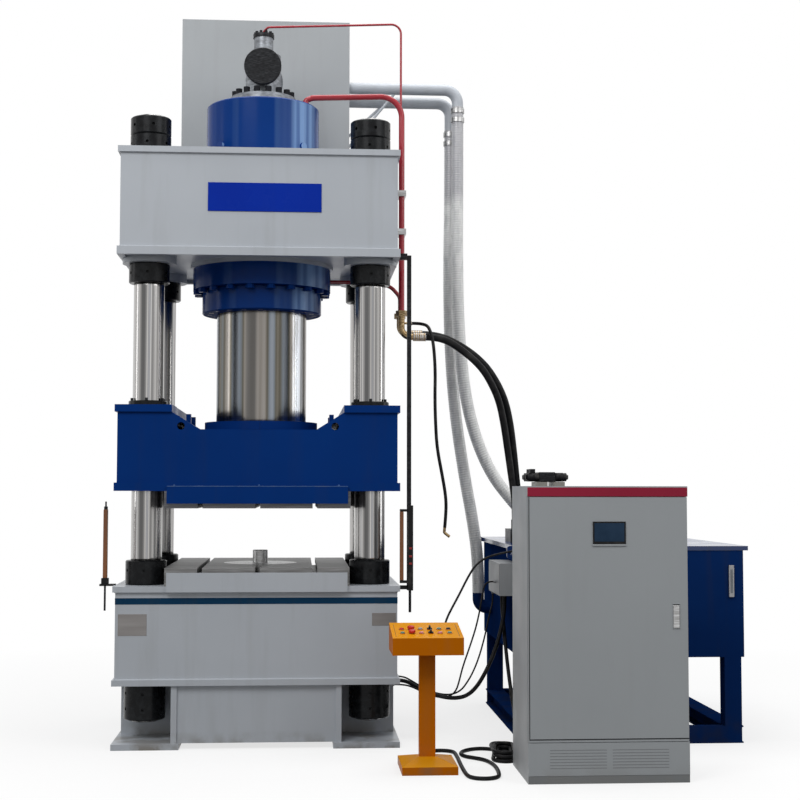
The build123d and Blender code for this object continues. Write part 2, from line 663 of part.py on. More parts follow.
def make_ram():
    """Ram with its piston head, and the split flange that holds the slide to it."""
    ram = rod(RAM_R, SLIDE_MID_Z, PISTON_Z + PISTON_T)
    ram += rod(BORE_R - RAM_PLAY, PISTON_Z, PISTON_Z + PISTON_T)
    keep("ram", ram)
    step_top = SLIDE_MID_Z + RAM_STEP_T
    top = step_top + RAM_FOOT_T
    ring = rod(RAM_FOOT_R, step_top, top) + rod(RAM_STEP_R, SLIDE_MID_Z, step_top)
    ring -= rod(RAM_R + THREAD_PLAY, SLIDE_MID_Z - 1, top + 1)
    seat = top - FOOT_HEAD_H
    spots = ring_of(FOOT_SCREWS, (RAM_FOOT_R + RAM_R) / 2 + 2, 11.25)
    for x, y in spots:
        ring -= rod(FOOT_HEAD_R + HEAD_PLAY, seat, top + 1, x, y)
    wide = 2 * RAM_FOOT_R
    halves = [ring & box(s, s + wide, -wide, wide, 0, CROWN_Z) for s in (0.5, -wide - 0.5)]
    keep("ram_flange", *halves)
    return [socket_head(FOOT_HEAD_R, seat, top, x, y) for x, y in spots]


def t_slots(z_face, up, y0, y1):
    """Cutters for three front-to-back T-slots in a face; up is 1 for a face that looks up."""
    cut = None
    for x in (-SLOT_X, 0, SLOT_X):
        neck = sorted((z_face + up, z_face - up * SLOT_DEEP))
        head = sorted((z_face - up * (SLOT_DEEP - SLOT_HEAD_H), z_face - up * SLOT_DEEP))
        one = box(x - SLOT_W / 2, x + SLOT_W / 2, y0, y1, *neck)
        one += box(x - SLOT_HEAD_W / 2, x + SLOT_HEAD_W / 2, y0, y1, *head)
        cut = one if cut is None else cut + one
    return cut


def make_slide():
    """Slide weldment with its lifting tubes, T-slot plate, front bar and guide bushes."""
    wall_x = PLATE_X - WALL_INSET
    wall_y = PLATE_Y - WALL_INSET
    bottom_top = SLIDE_BOTTOM_Z + SLIDE_BOTTOM_T
    outline = Polyline(
        (-wall_x, bottom_top), (wall_x, bottom_top), (wall_x, SHOULDER_Z - SHOULDER_T),
        (SHOULDER_IN_X, SHOULDER_Z - SHOULDER_T), (SLOPE_IN_X, SLIDE_MID_Z),
        (-SLOPE_IN_X, SLIDE_MID_Z), (-SHOULDER_IN_X, SHOULDER_Z - SHOULDER_T),
        (-wall_x, SHOULDER_Z - SHOULDER_T), close=True)
    side = make_face(outline)
    body = extrude(Plane.XZ.offset(-wall_y) * side, 2 * wall_y)
    hollow = offset(side, amount=-WALL)
    web = SLIDE_WEB_Y
    for y0, y1 in ((-wall_y + WALL, -web - WALL), (-web, web), (web + WALL, wall_y - WALL)):
        body -= extrude(Plane.XZ.offset(-y1) * hollow, y1 - y0)
    body += box(-PLATE_X, PLATE_X, -PLATE_Y, PLATE_Y, SLIDE_BOTTOM_Z, bottom_top)
    for s in (-1, 1):
        low, high = sorted((s * SHOULDER_IN_X, s * PLATE_X))
        body += box(low, high, -PLATE_Y, PLATE_Y, SHOULDER_Z - SHOULDER_T, SHOULDER_Z)
        for y in (-web - WALL / 2, web + WALL / 2):
            low, high = sorted((s * STOP_X[0], s * STOP_X[1]))
            body += box(low, high, y - STOP_W / 2, y + STOP_W / 2, *STOP_Z)
    for x, y in corners(COLUMN_X, COLUMN_Y):
        body += rod(BUSH_SLEEVE_R + 22, bottom_top, SHOULDER_Z - SHOULDER_T, x, y)
    body += rod(RAM_STEP_R, bottom_top, SLIDE_MID_Z - 20)
    for x, y in corners(COLUMN_X, COLUMN_Y):
        body -= rod(COLUMN_R + HOLE_PLAY, SLIDE_BOTTOM_Z - 1, SHOULDER_Z + 1, x, y)
        body -= rod(BUSH_SLEEVE_R + THREAD_PLAY, SHOULDER_Z - BUSH_SLEEVE_DEEP, SHOULDER_Z + 1, x, y)
    for x in (-LIFT_HOLE_X, LIFT_HOLE_X):
        body += lying_y(LIFT_HOLE_R + LIFT_TUBE_WALL, -wall_y + 1, wall_y - 1, x, LIFT_HOLE_Z)
        body -= lying_y(LIFT_HOLE_R, -wall_y - 1, wall_y + 1, x, LIFT_HOLE_Z)
    bar_top = FRONT_BAR_Z + FRONT_BAR_H
    body += box(-FRONT_BAR_X, FRONT_BAR_X, -PLATE_Y - FRONT_BAR_T, -PLATE_Y, FRONT_BAR_Z, bar_top)
    keep("slide_body", body)
    plate_back = PLATE_Y - DIE_PLATE_BACK
    plate = box(-DIE_PLATE_X, DIE_PLATE_X, -PLATE_Y, plate_back, DIE_PLATE_Z, SLIDE_BOTTOM_Z)
    plate -= t_slots(DIE_PLATE_Z, -1, -PLATE_Y - 1, PLATE_Y)
    keep("slide_die_plate", plate)
    bushes = []
    screws = []
    for x, y in corners(COLUMN_X, COLUMN_Y):
        top = SHOULDER_Z + BUSH_T
        bush = rod(BUSH_R, SHOULDER_Z, top, x, y)
        bush += rod(BUSH_SLEEVE_R, SHOULDER_Z - BUSH_SLEEVE_DEEP, SHOULDER_Z, x, y)
        bush = chamfer(bush.edges().filter_by(GeomType.CIRCLE).group_by(Axis.Z)[-1], 4)
        bore_low = SHOULDER_Z - BUSH_SLEEVE_DEEP - 1
        bushes.append(bush - rod(COLUMN_R + RAM_PLAY, bore_low, top + 1, x, y))
        for dx, dy in ring_of(BUSH_SCREWS, (BUSH_R + COLUMN_R) / 2, 30):
            screws.append(socket_head(BUSH_HEAD_R, top, top + BUSH_HEAD_H, x + dx, y + dy))
    keep("guide_bushes", *bushes)
    return screws


def make_table():
    """T-slot table, its front bar, centre disc and the ejector."""
    hole = EJECTOR_R + EJECTOR_PLAY
    table = box(-TABLE_X, TABLE_X, -PLATE_Y, TABLE_BACK_Y, BASE_TOP_Z, TABLE_TOP_Z)
    table -= t_slots(TABLE_TOP_Z, 1, -PLATE_Y - 1, TABLE_BACK_Y + 1)
    disc_low = TABLE_TOP_Z - DISC_DEEP
    table -= rod(DISC_R, disc_low, TABLE_TOP_Z + 1)
    table -= rod(hole + 20, BASE_TOP_Z - 1, TABLE_TOP_Z)
    keep("table_plate", table)
    disc = rod(DISC_R - DISC_PLAY, disc_low, TABLE_TOP_Z)
    disc = chamfer(disc.edges().group_by(Axis.Z)[-1], 2) - rod(hole, BASE_TOP_Z, TABLE_TOP_Z + 1)
    keep("table_centre_disc", disc)
    top = BASE_TOP_Z - BASE_TOP_T
    flange_low = top - EJECTOR_FLANGE_T
    bore_top = flange_low - 5
    cylinder = rod(EJECTOR_CASE_R, EJECTOR_CASE_Z, top) + rod(EJECTOR_FLANGE_R, flange_low, top)
    cylinder -= rod(EJECTOR_HEAD_R, EJECTOR_CASE_Z + EJECTOR_FLOOR_T, bore_top)
    cylinder -= rod(EJECTOR_R + RAM_PLAY, bore_top - 1, top + 1)
    keep("ejector_cylinder", cylinder)
    pin = rod(EJECTOR_R, EJECTOR_LOW_Z, EJECTOR_TOP_Z)
    pin += rod(EJECTOR_HEAD_R - RAM_PLAY, EJECTOR_LOW_Z, EJECTOR_LOW_Z + EJECTOR_HEAD_T)
    keep("ejector_pin", chamfer(pin.edges().group_by(Axis.Z)[-1], 3))


def make_upper_tank(nozzle):
    """Upper oil tank on the crown, its brackets and the two return pipes."""
    x0 = UP_TANK_MID_X - UP_TANK_X
    x1 = UP_TANK_MID_X + UP_TANK_X
    y1 = UP_TANK_Y + UP_TANK_D
    tank = box(x0, x1, UP_TANK_Y, y1, CROWN_TOP_Z, UP_TANK_TOP_Z)
    w = UP_TANK_WALL
    tank -= box(x0 + w, x1 - w, UP_TANK_Y + w, y1 - w, CROWN_TOP_Z + w, UP_TANK_TOP_Z - w)
    tank -= lying_y(PORT_R, UP_TANK_Y - 1, UP_TANK_Y + w + 1, 0, BLANK_Z)
    for y, z in zip(RETURN_Y, RETURN_Z):
        tank -= lying_x(RETURN_R - 4, x1 - w - 1, x1 + 1, y, z)
    keep("prefill_tank", tank + nozzle)
    pipes = []
    clamps = []
    for px, py, pz, end in zip(RETURN_X, RETURN_Y, RETURN_Z, RETURN_END_Z):
        route = [(x1, py, pz), (px, py, pz), (px, py, end)]
        pipes.append(elbow_pipe(route, RETURN_R, RETURN_BEND, RETURN_R - 4))
        for low in (end - 42, end - 104):
            clamps.append(tube(HOSE_R + CLAMP_T, HOSE_R + CLAMP_PLAY, low, low + 30, px, py))
    for i, (reach, drop) in enumerate(STRUTS):
        y = RETURN_Y[i]
        z = RETURN_Z[i] - drop
        path = Polyline((x1 - 10, y, z), (x1 + reach, y, RETURN_Z[i] - RETURN_R + 12))
        strut = sweep(Plane(origin=path @ 0, z_dir=path % 0) * Circle(STRUT_R), path=path)
        pipes[i] += strut - box(x1 - 40, x1, y - 40, y + 40, z - 40, z + 40)
    keep("return_pipes", *pipes)
    return clamps


def make_lines():
    """Red oil lines, their clamps, nuts and elbows, with the crimp sleeves of the hoses."""
    thick = [(THICK_PORT_X, THICK_Y, BARREL_TOP_Z), (THICK_PORT_X, THICK_Y, LINE_TOP_Z - 18),
             (THICK_PORT_X + 40, THICK_Y, LINE_TOP_Z), (LINE_X, THICK_Y, LINE_TOP_Z + 20),
             (LINE_X, THICK_Y, LINE_END_Z)]
    thick_pipe = elbow_pipe(thick, THICK_R, [22, 60, 130], THICK_R - 4)
    cap_z = NECK_TOP_Z + CAP_T - CAP_SCREW_H
    thin = [(0, 0, cap_z), (0, 0, cap_z + 26), (30, THIN_Y, cap_z + 38), (LINE_X, THIN_Y, cap_z + 76),
            (LINE_X, THIN_Y, LINE_END_Z)]
    thin_pipe = elbow_pipe(thin, THIN_R, [14, 20, 60], THIN_R - 2)
    low = [(FLANGE_R, LOW_Y, LOW_PORT_Z), (560, LOW_Y, LOW_PORT_Z), (LINE_X - 60, LOW_Y, LOW_PORT_Z - 20),
           (LINE_X, LOW_Y, LOW_PORT_Z - 90), (LINE_X, LOW_Y, LINE_END_Z)]
    low_pipe = elbow_pipe(low, LOW_R, [300, 90, 60], LOW_R - 3)
    keep("oil_lines", thick_pipe, thin_pipe, low_pipe)
    wall_x = PLATE_X - WALL_INSET
    clamps = []
    for z in LINE_CLAMPS_Z:
        top = z + LINE_CLAMP_H
        block = box(wall_x, LINE_X + 26, THICK_Y - 30, THIN_Y + 20, z, top)
        block -= rod(THICK_R + THREAD_PLAY, z - 1, top + 1, LINE_X, THICK_Y)
        clamps.append(block - rod(THIN_R + THREAD_PLAY, z - 1, top + 1, LINE_X, THIN_Y))
    fittings = []
    nut_low = LINE_END_Z - 4
    for pipe_r, y, body_r, nut_h, drop, out, sleeve_l in LINE_ENDS:
        nut = hex_head(2 * body_r + 14, nut_low, nut_low + nut_h, LINE_X, y)
        nut -= rod(pipe_r + THREAD_PLAY, LINE_END_Z, LINE_END_Z + nut_h, LINE_X, y)
        x = LINE_X + out
        z = nut_low - drop
        route = [(LINE_X, y, nut_low), (LINE_X, y, z), (x, y, z)]
        sleeve = lying_x(body_r + 2, x, x + sleeve_l, y, z)
        sleeve = chamfer(sleeve.edges().filter_by(GeomType.CIRCLE), 2)
        fittings.append(nut + elbow_pipe(route, body_r - 4, min(out, drop) * 0.8) + sleeve)
    tip = ROUTES["thin_hose"][1][-1]
    bend = [tip, (tip[0] - 3, tip[1], tip[2] - 30), (tip[0] + 30, tip[1], tip[2] - 56)]
    fittings.append(elbow_pipe(bend, 9, 14))
    return clamps, fittings


def make_guards():
    """Light curtains on both sides and the rail that carries the right one."""
    half = BAR_W / 2
    y0 = LEFT_BAR_Y - BAR_D / 2
    y1 = LEFT_BAR_Y + BAR_D / 2
    x = -LEFT_BAR_X
    left_bar = box(x - half, x + half, y0, y1, LEFT_BAR_Z, LEFT_BAR_TOP_Z)
    left = box(x - 30, -PLATE_X, y0 - 6, y1 + 6, LEFT_BAR_Z - 46, LEFT_BAR_Z - 34)
    left += box(x - 20, x + 20, y0 - 6, y1 + 6, LEFT_BAR_Z - 34, LEFT_BAR_Z)
    left += box(-PLATE_X - 12, -PLATE_X, y0 - 30, y1 + 30, BASE_TOP_Z - BASE_TOP_T, BASE_TOP_Z)
    left += rod(6, LEFT_BAR_Z - 189, LEFT_BAR_Z - 46, x, LEFT_BAR_Y)
    tip = rod(5, LEFT_BAR_TOP_Z, LEFT_BAR_TOP_Z + 46, x, LEFT_BAR_Y)
    tip += rod(11, LEFT_BAR_TOP_Z, LEFT_BAR_TOP_Z + 17, x, LEFT_BAR_Y)
    rh = RAIL_W / 2
    rail = box(RAIL_X - rh, RAIL_X + rh, RAIL_Y - rh, RAIL_Y + rh, RAIL_END_Z, RAIL_TOP_Z)
    rh_in = rh - RAIL_WALL
    rail -= box(RAIL_X - rh_in, RAIL_X + rh_in, RAIL_Y - rh_in, RAIL_Y + rh_in,
                RAIL_END_Z - 1, RAIL_TOP_Z + 1)
    wall_x = PLATE_X - WALL_INSET
    for z0, z1 in ((CROWN_Z, CROWN_Z + CROWN_BOTTOM_T), (BASE_TOP_Z - BASE_TOP_T, BASE_TOP_Z)):
        rail += box(PLATE_X, RAIL_X - rh, RAIL_Y - 16, RAIL_Y + 16, z0 + 4, z1 - 6)
    face = RAIL_Y - rh
    receiver = box(RAIL_X - 9, RAIL_X + 22, face - 33, face, RAIL_END_Z, RECEIVER_TOP_Z)
    bar_low = RAIL_END_Z + 59
    bar_high = RECEIVER_TOP_Z - 37
    right_bar = box(RIGHT_BAR_X - 11, RIGHT_BAR_X + 11, face - 30, face - 2, bar_low, bar_high)
    ties = [box(RIGHT_BAR_X - 11, RAIL_X - 9, face - 28, face - 4, bar_high, bar_high + 15)]
    ties.append(box(RIGHT_BAR_X - 11, RAIL_X - 9, face - 28, face - 4, bar_low - 16, bar_low))
    ties.append(rod(8, RAIL_END_Z - 127, RAIL_END_Z, RAIL_X + 4, face - 16))
    keep("side_guards", rail, left, left_bar, tip, right_bar, receiver, *ties)


def make_power_unit():
    """Oil tank on its stand, lid, motor, pump, valves and the grey terminal box."""
    w = PU_WALL
    tank = box(PU_X, PU_RIGHT_X, PU_FRONT_Y, PU_BACK_Y, PU_Z, PU_TOP_Z)
    tank -= box(PU_X + w, PU_RIGHT_X - w, PU_FRONT_Y + w, PU_BACK_Y - w, PU_Z + w, PU_TOP_Z + 1)
    left = PU_X + LEG_SET
    right = PU_RIGHT_X - LEG_SET
    front = PU_FRONT_Y
    back = PU_BACK_Y
    for x0, x1 in ((left, left + LEG_W), (right - LEG_W, right)):
        for y0, y1 in ((front, front + LEG_W), (back - LEG_W, back)):
            leg = box(x0, x1, y0, y1, BEAM_H, PU_Z)
            tank += leg - box(x0 + w, x1 - w, y0 + w, y1 - w, BEAM_H, PU_Z)
        mid = (x0 + x1) / 2
        for z0, z1 in ((0, BEAM_FLANGE_T), (BEAM_H - BEAM_FLANGE_T, BEAM_H)):
            tank += box(x0 - 8, x1 + 8, front, back, z0, z1)
        tank += box(mid - 4, mid + 4, front, back, 0, BEAM_H)
    for s in (0, 1):
        y_web = front if s == 0 else back - w
        y0, y1 = (front, front + 50) if s == 0 else (back - 50, back)
        tank += box(left, right, y_web, y_web + w, 0, BEAM_H)
        for z0, z1 in ((0, BEAM_FLANGE_T), (BEAM_H - BEAM_FLANGE_T, BEAM_H)):
            tank += box(left, right, y0, y1, z0, z1)
    tank += box(GAUGE_X, GAUGE_X + GAUGE_W, front - 14, front, *GAUGE_Z)
    stub_x = PU_X - STUB_OUT
    stub = elbow_pipe([(PU_X + w, STUB_Y, STUB_Z), (stub_x, STUB_Y, STUB_Z), (stub_x, STUB_Y, STUB_TOP_Z)],
                      RETURN_R, 60, RETURN_R - 4)
    keep("oil_tank", tank + stub)
    lid_top = PU_TOP_Z + LID_T
    lid = box(PU_X - LID_OVER, PU_RIGHT_X + LID_OVER, front - 4, back + LID_OVER, PU_TOP_Z, lid_top)
    for y in (front + 70, back - 60):
        ear = box(PU_X - LID_OVER - 40, PU_X - LID_OVER, y, y + 14, PU_TOP_Z - 50, lid_top)
        ear = fillet(ear.edges().filter_by(Axis.Y).group_by(Axis.X)[0], 18)
        lid += ear - lying_y(12, y - 1, y + 15, PU_X - LID_OVER - 22, PU_TOP_Z - 14)
    neck = elbow_pipe([(IN_STUB_X, IN_STUB_Y, lid_top - 1), (IN_STUB_X, IN_STUB_Y, IN_STUB_Z),
                       IN_STUB_END], RETURN_R, 60, RETURN_R - 4)
    collar = tube(RETURN_R + 24, RETURN_R - 4, lid_top, lid_top + 12, IN_STUB_X, IN_STUB_Y)
    keep("tank_lid", lid + neck + collar)
    axis_z = lid_top + MOTOR_RISE
    motor = lying_x(MOTOR_R - 14, MOTOR_X, MOTOR_X + MOTOR_L, MOTOR_Y, axis_z)
    for i in range(MOTOR_FINS):
        turn = 360 / MOTOR_FINS * i
        fin = Pos(MOTOR_X + MOTOR_L / 2, MOTOR_Y, axis_z) * Rot(turn, 0, 0)
        motor += fin * Pos(0, 0, MOTOR_R - 10) * Box(MOTOR_L * 0.7, 5, 20)
    motor += lying_x(MOTOR_R, MOTOR_X, MOTOR_X + 40, MOTOR_Y, axis_z)
    motor += lying_x(MOTOR_R + 2, MOTOR_X + MOTOR_L - 90, MOTOR_X + MOTOR_L, MOTOR_Y, axis_z)
    for x in (MOTOR_X + 70, MOTOR_X + MOTOR_L - 170):
        motor += box(x, x + 60, MOTOR_Y - 130, MOTOR_Y + 130, lid_top, lid_top + 16)
        for y in (MOTOR_Y - 105, MOTOR_Y + 85):
            motor += box(x, x + 60, y, y + 20, lid_top, axis_z - 40)
    side = MOTOR_Y - MOTOR_R
    motor += box(MOTOR_X + 130, MOTOR_X + 270, side - 55, side + 40, axis_z - 50, axis_z + 70)
    pump = lying_x(MOTOR_R, MOTOR_X - 24, MOTOR_X, MOTOR_Y, axis_z)
    pump += lying_x(MOTOR_R - 32, MOTOR_X - 150, MOTOR_X - 24, MOTOR_Y, axis_z)
    pump += lying_x(62, MOTOR_X - 300, MOTOR_X - 150, MOTOR_Y, axis_z)
    pump += lying_x(78, MOTOR_X - 330, MOTOR_X - 300, MOTOR_Y, axis_z)
    pump += box(MOTOR_X - 280, MOTOR_X - 180, MOTOR_Y - 78, MOTOR_Y + 78, axis_z - 42, axis_z + 42)
    pump += rod(24, lid_top, axis_z, MOTOR_X - 230, MOTOR_Y)
    pump += lying_y(16, MANIFOLD_Y + 120, MOTOR_Y - 76, MOTOR_X - 230, axis_z)
    keep("pump_motor", motor)
    keep("oil_pump", pump)
    y0 = MANIFOLD_Y - 120
    y1 = MANIFOLD_Y + 120
    block_top = MANIFOLD_TOP_Z
    manifold = box(MANIFOLD_X, MANIFOLD_X + 260, y0, y1, lid_top, block_top)
    for x in (MANIFOLD_X + 40, MANIFOLD_X + 150):
        manifold += box(x, x + 72, y0 + 20, y1 - 20, block_top, block_top + 46)
    for y in (y0 + 40, y0 + 104, y0 + 168):
        manifold += box(MANIFOLD_X + 60, MANIFOLD_X + 166, y, y + 46, block_top + 46, block_top + 92)
        manifold += lying_x(21, MANIFOLD_X - 12, MANIFOLD_X + 60, y + 23, block_top + 70)
        manifold += lying_x(21, MANIFOLD_X + 166, MANIFOLD_X + 232, y + 23, block_top + 70)
    manifold += box(MANIFOLD_X - 130, MANIFOLD_X, y0, y1, lid_top, PORT_TOP_Z - 60)
    for x, y in PORTS:
        manifold += rod(BLACK_R + 4, PORT_TOP_Z - 60, PORT_TOP_Z, x, y)
    keep("valve_manifold", manifold)
    tb_back = TBOX_Y + TBOX_L
    tb_top = TBOX_Z + TBOX_H
    tb = box(TBOX_X, PU_X, TBOX_Y, tb_back, TBOX_Z, tb_top)
    tb += box(TBOX_X - 3, TBOX_X, TBOX_Y + 8, tb_back - 8, TBOX_Z + 8, tb_top - 8)
    for x, y, r in TBOX_GLANDS:
        tb += rod(r + 4, TBOX_Z - 16, TBOX_Z, x, y)
    tb += lying_x(9, TBOX_X - 19, TBOX_X - 3, *TBOX_SIDE_GLAND)
    keep("terminal_box", tb)


def make_cabinet():
    """Electrical cabinet: case, door with its screen and handle pocket, handle and the gear inside."""
    x1 = CAB_X + CAB_W
    y1 = CAB_Y + CAB_D
    w = CAB_WALL
    case_y = CAB_Y + DOOR_T + 2
    inner_z = DOOR_Z - 20
    case = box(CAB_X, x1, case_y, y1, 0, CAB_H)
    case -= box(CAB_X + w, x1 - w, case_y - 1, y1 - w, inner_z, CAB_H - w)
    case -= box(CAB_X + w, x1 - w, case_y + 40, y1 - w, PLINTH_H, inner_z - w)
    for low, high in ((CAB_X + w, CAB_X + w + CAB_FLANGE), (x1 - w - CAB_FLANGE, x1 - w)):
        case += box(low, high, case_y, case_y + w, inner_z, CAB_H)
    case += box(CAB_X, x1, CAB_Y, case_y + w, DOOR_TOP_Z, CAB_H)
    case += box(CAB_X, x1, CAB_Y, case_y + 1, PLINTH_H + 1, inner_z)
    case += box(CAB_X, x1, CAB_Y + 3, case_y + 1, 0, PLINTH_H + 1)
    for i in range(LOUVRE_COUNT):
        z = LOUVRE_Z + i * LOUVRE_STEP
        for low, high in LOUVRES_X:
            case -= box(CAB_X + low, CAB_X + high, CAB_Y - 1, case_y + 60, z, z + 5)
    case += lying_y(CAB_GLAND_R, y1, y1 + 20, CAB_GLAND_X, CAB_GLAND_Z)
    dx0 = CAB_X + DOOR_GAP
    dx1 = x1 - DOOR_GAP
    dz0 = DOOR_Z - 17
    dz1 = DOOR_TOP_Z - DOOR_GAP
    door = box(dx0, dx1, CAB_Y, CAB_Y + DOOR_T, dz0, dz1)
    door -= box(dx0 + w, dx1 - w, CAB_Y + w, CAB_Y + DOOR_T + 1, dz0 + w, dz1 - w)
    for low, high in ((inner_z - 1, dz0 + w + 3), (dz1 - w - 3, DOOR_TOP_Z + 1)):
        case += rod(PIN_R, low, high, CAB_X + HINGE_X, CAB_Y + HINGE_Y)
        door -= rod(PIN_R + PIN_PLAY, low - 1, high + 1, CAB_X + HINGE_X, CAB_Y + HINGE_Y)
    keep("cabinet_case", case)
    screen_x1 = SCREEN_X + SCREEN_W
    door += box(SCREEN_X, screen_x1, CAB_Y - 4, CAB_Y, *SCREEN_Z)
    door += box(SCREEN_X + 14, screen_x1 - 14, CAB_Y, CAB_Y + 52, SCREEN_Z[0] + 9, SCREEN_Z[1] - 9)
    pocket = (HANDLE_X - 2, HANDLE_X + HANDLE_W + 2, HANDLE_Z - 3, HANDLE_Z + HANDLE_H + 3)
    door += box(pocket[0] - 3, pocket[1] + 3, CAB_Y - 2, CAB_Y + 26, pocket[2] - 3, pocket[3] + 3)
    door -= box(pocket[0], pocket[1], CAB_Y - 3, CAB_Y + 23, pocket[2], pocket[3])
    keep("cabinet_door", door)
    top = HANDLE_Z + HANDLE_H - 6
    lever = box(HANDLE_X, HANDLE_X + HANDLE_W, CAB_Y, CAB_Y + 12, HANDLE_Z, top)
    lever += lying_x(6, HANDLE_X, HANDLE_X + HANDLE_W, CAB_Y + 6, top)
    lever += lying_x(3, HANDLE_X - 1.9, HANDLE_X + HANDLE_W + 1.9, CAB_Y + 6, top)
    keep("door_handle", lever)
    plate_y = y1 - w - 40
    gear = [box(CAB_X + 60, x1 - 60, plate_y, plate_y + 3, *GEAR_PLATE_Z)]
    for x in (CAB_X + 80, x1 - 80):
        for z in GEAR_FEET_Z:
            gear[0] += lying_y(8, plate_y + 3, y1 - w, x, z)
    for z in GEAR_DUCTS_Z:
        gear.append(box(CAB_X + 70, x1 - 70, plate_y - GEAR_DUCT[0], plate_y, z, z + GEAR_DUCT[1]))
    rail_y = plate_y - GEAR_RAIL[0]
    half_rail = GEAR_RAIL[1] / 2
    for z, count, wide, tall, deep in GEAR_ROWS:
        gear.append(box(CAB_X + 90, x1 - 90, rail_y, plate_y, z - half_rail, z + half_rail))
        pitch = (CAB_W - 200) / count
        for i in range(count):
            x = CAB_X + 100 + pitch * (i + 0.5) - wide / 2
            gear.append(box(x, x + wide, rail_y - deep, rail_y, z - tall / 2, z + tall / 2))
    keep("control_gear", *gear)


def on_desk(x, depth, rise=0.0):
    """Frame on the sloping desk top, with Z along its normal."""
    slope = math.degrees(math.atan2(DESK_BACK_Z - DESK_FRONT_Z, DESK_D))
    start = Pos(x, DESK_Y, DESK_FRONT_Z) * Rot(slope, 0, 0)
    return start * Pos(0, depth, rise)


def make_pedestal():
    """Pedestal foot, post and desk with twelve controls."""
    x0 = FOOT_X
    y0 = FOOT_Y
    foot = box(x0, x0 + FOOT_W, y0, y0 + FOOT_D, 0, FOOT_EDGE_H)
    base = Pos(x0 + FOOT_W / 2, y0 + FOOT_D / 2, FOOT_EDGE_H) * Rectangle(FOOT_W, FOOT_D)
    neck = Pos(POST_X, POST_Y, FOOT_EDGE_H + FOOT_RISE) * Rectangle(POST_W + 20, POST_D + 20)
    foot += loft([base.face(), neck.face()])
    post = box(POST_X - POST_W / 2, POST_X + POST_W / 2, POST_Y - POST_D / 2, POST_Y + POST_D / 2,
               FOOT_EDGE_H, DESK_LOW_Z)
    half_w = POST_W / 2 - POST_WALL
    half_d = POST_D / 2 - POST_WALL
    foot += post
    hollow_low = FOOT_EDGE_H + 40
    foot -= box(POST_X - half_w, POST_X + half_w, POST_Y - half_d, POST_Y + half_d,
                hollow_low, DESK_LOW_Z + 1)
    foot += lying_y(14, y0 + FOOT_D, y0 + FOOT_D + 16, POST_X + 20, 24)
    keep("pedestal_stand", foot)
    side = Polyline((DESK_Y, DESK_LOW_Z), (DESK_Y + DESK_D, DESK_LOW_Z), (DESK_Y + DESK_D, DESK_BACK_Z),
                    (DESK_Y, DESK_FRONT_Z), close=True)
    side = make_face(side)
    desk = extrude(Plane.YZ.offset(DESK_X) * side, DESK_W)
    inside = Plane.YZ.offset(DESK_X + DESK_WALL) * offset(side, amount=-DESK_WALL)
    desk -= extrude(inside, DESK_W - 2 * DESK_WALL)
    places = [(i, row) for row in range(2) for i in range(6)]
    for i, row in places:
        at = on_desk(CONTROL_X + CONTROL_STEP * i, CONTROL_ROWS[row])
        desk += at * rod(CONTROL_R + 4, -DESK_WALL / 2, 3)
        desk += at * rod(CONTROL_R + 3, -34, -DESK_WALL / 2)
    for i, row in places:
        at = on_desk(CONTROL_X + CONTROL_STEP * i, CONTROL_ROWS[row])
        desk -= at * rod(CONTROL_R + CONTROL_PLAY, -30, 4)
    desk += lying_y(9, DESK_Y + DESK_D, DESK_Y + DESK_D + 16, CORD_GLAND_X, CORD_GLAND_Z)
    keep("pedestal_desk", desk)
    for i, row in places:
        at = on_desk(CONTROL_X + CONTROL_STEP * i, CONTROL_ROWS[row])
        name, kind = CONTROLS[row][i]
        control = rod(CONTROL_R, -24, 9)
        if kind == "mushroom":
            control = rod(CONTROL_R, -24, 14) + rod(19, 8, 20)
            control = fillet(control.edges().filter_by(GeomType.CIRCLE).group_by(Axis.Z)[-1], 5)
        if kind == "push":
            control = fillet(control.edges().filter_by(GeomType.CIRCLE).group_by(Axis.Z)[-1], 1.5)
        if kind == "selector":
            control += rod(CONTROL_R + 3, 3.3, 9) + Pos(0, 0, 15) * Box(9, 2 * CONTROL_R + 4, 12)
        keep(name, at * control)


def cord_radii(points):
    """Arc radius for each inner point of a route: large, but within its two runs."""
    radii = []
    for before, here, after in zip(points, points[1:], points[2:]):
        first = Vector(*here) - Vector(*before)
        second = Vector(*after) - Vector(*here)
        half_turn = math.radians(first.get_angle(second)) / 2
        shorter = min(first.length, second.length)
        radii.append(0.45 * shorter / math.tan(half_turn))
    return radii


def cord_tube(name, diameter, points):
    """One free hose or cable along its route, with its length, volume check and bend radii printed."""
    radii = cord_radii(points)
    path = FilletPolyline(*points, radius=radii)
    start = Plane(origin=path @ 0, z_dir=path % 0)
    cord = sweep(start * Circle(diameter / 2), path=path)
    ideal = math.pi * diameter * diameter / 4 * path.length
    print(name, "length", round(path.length), "volume ratio", round(cord.volume / ideal, 4),
          "radii", [round(r) for r in radii])
    return cord


def make_cords():
    """Free hoses and cables as plain tubes, and the hank of spare cable beside the cabinet."""
    for name, (diameter, points) in ROUTES.items():
        keep(name, cord_tube(name, diameter, points))
    hank = extrude(SlotCenterToCenter(HANK_L, HANK_W), HANK_H)
    hank -= extrude(SlotCenterToCenter(HANK_L, HANK_GAP), HANK_H)
    hank = fillet(hank.edges().group_by(Axis.Z)[-1], HANK_ROUND)
    hank = Pos(HANK_X, HANK_Y, 0) * Rot(0, 0, HANK_TURN) * hank
    path = Polyline(*HANK_IN)
    hank += sweep(Plane(origin=path @ 0, z_dir=path % 0) * Circle(HANK_CORD / 2), path=path)
    keep("cable_hank", hank + cord_tube("hank_lead", HANK_CORD, HANK_LEAD))


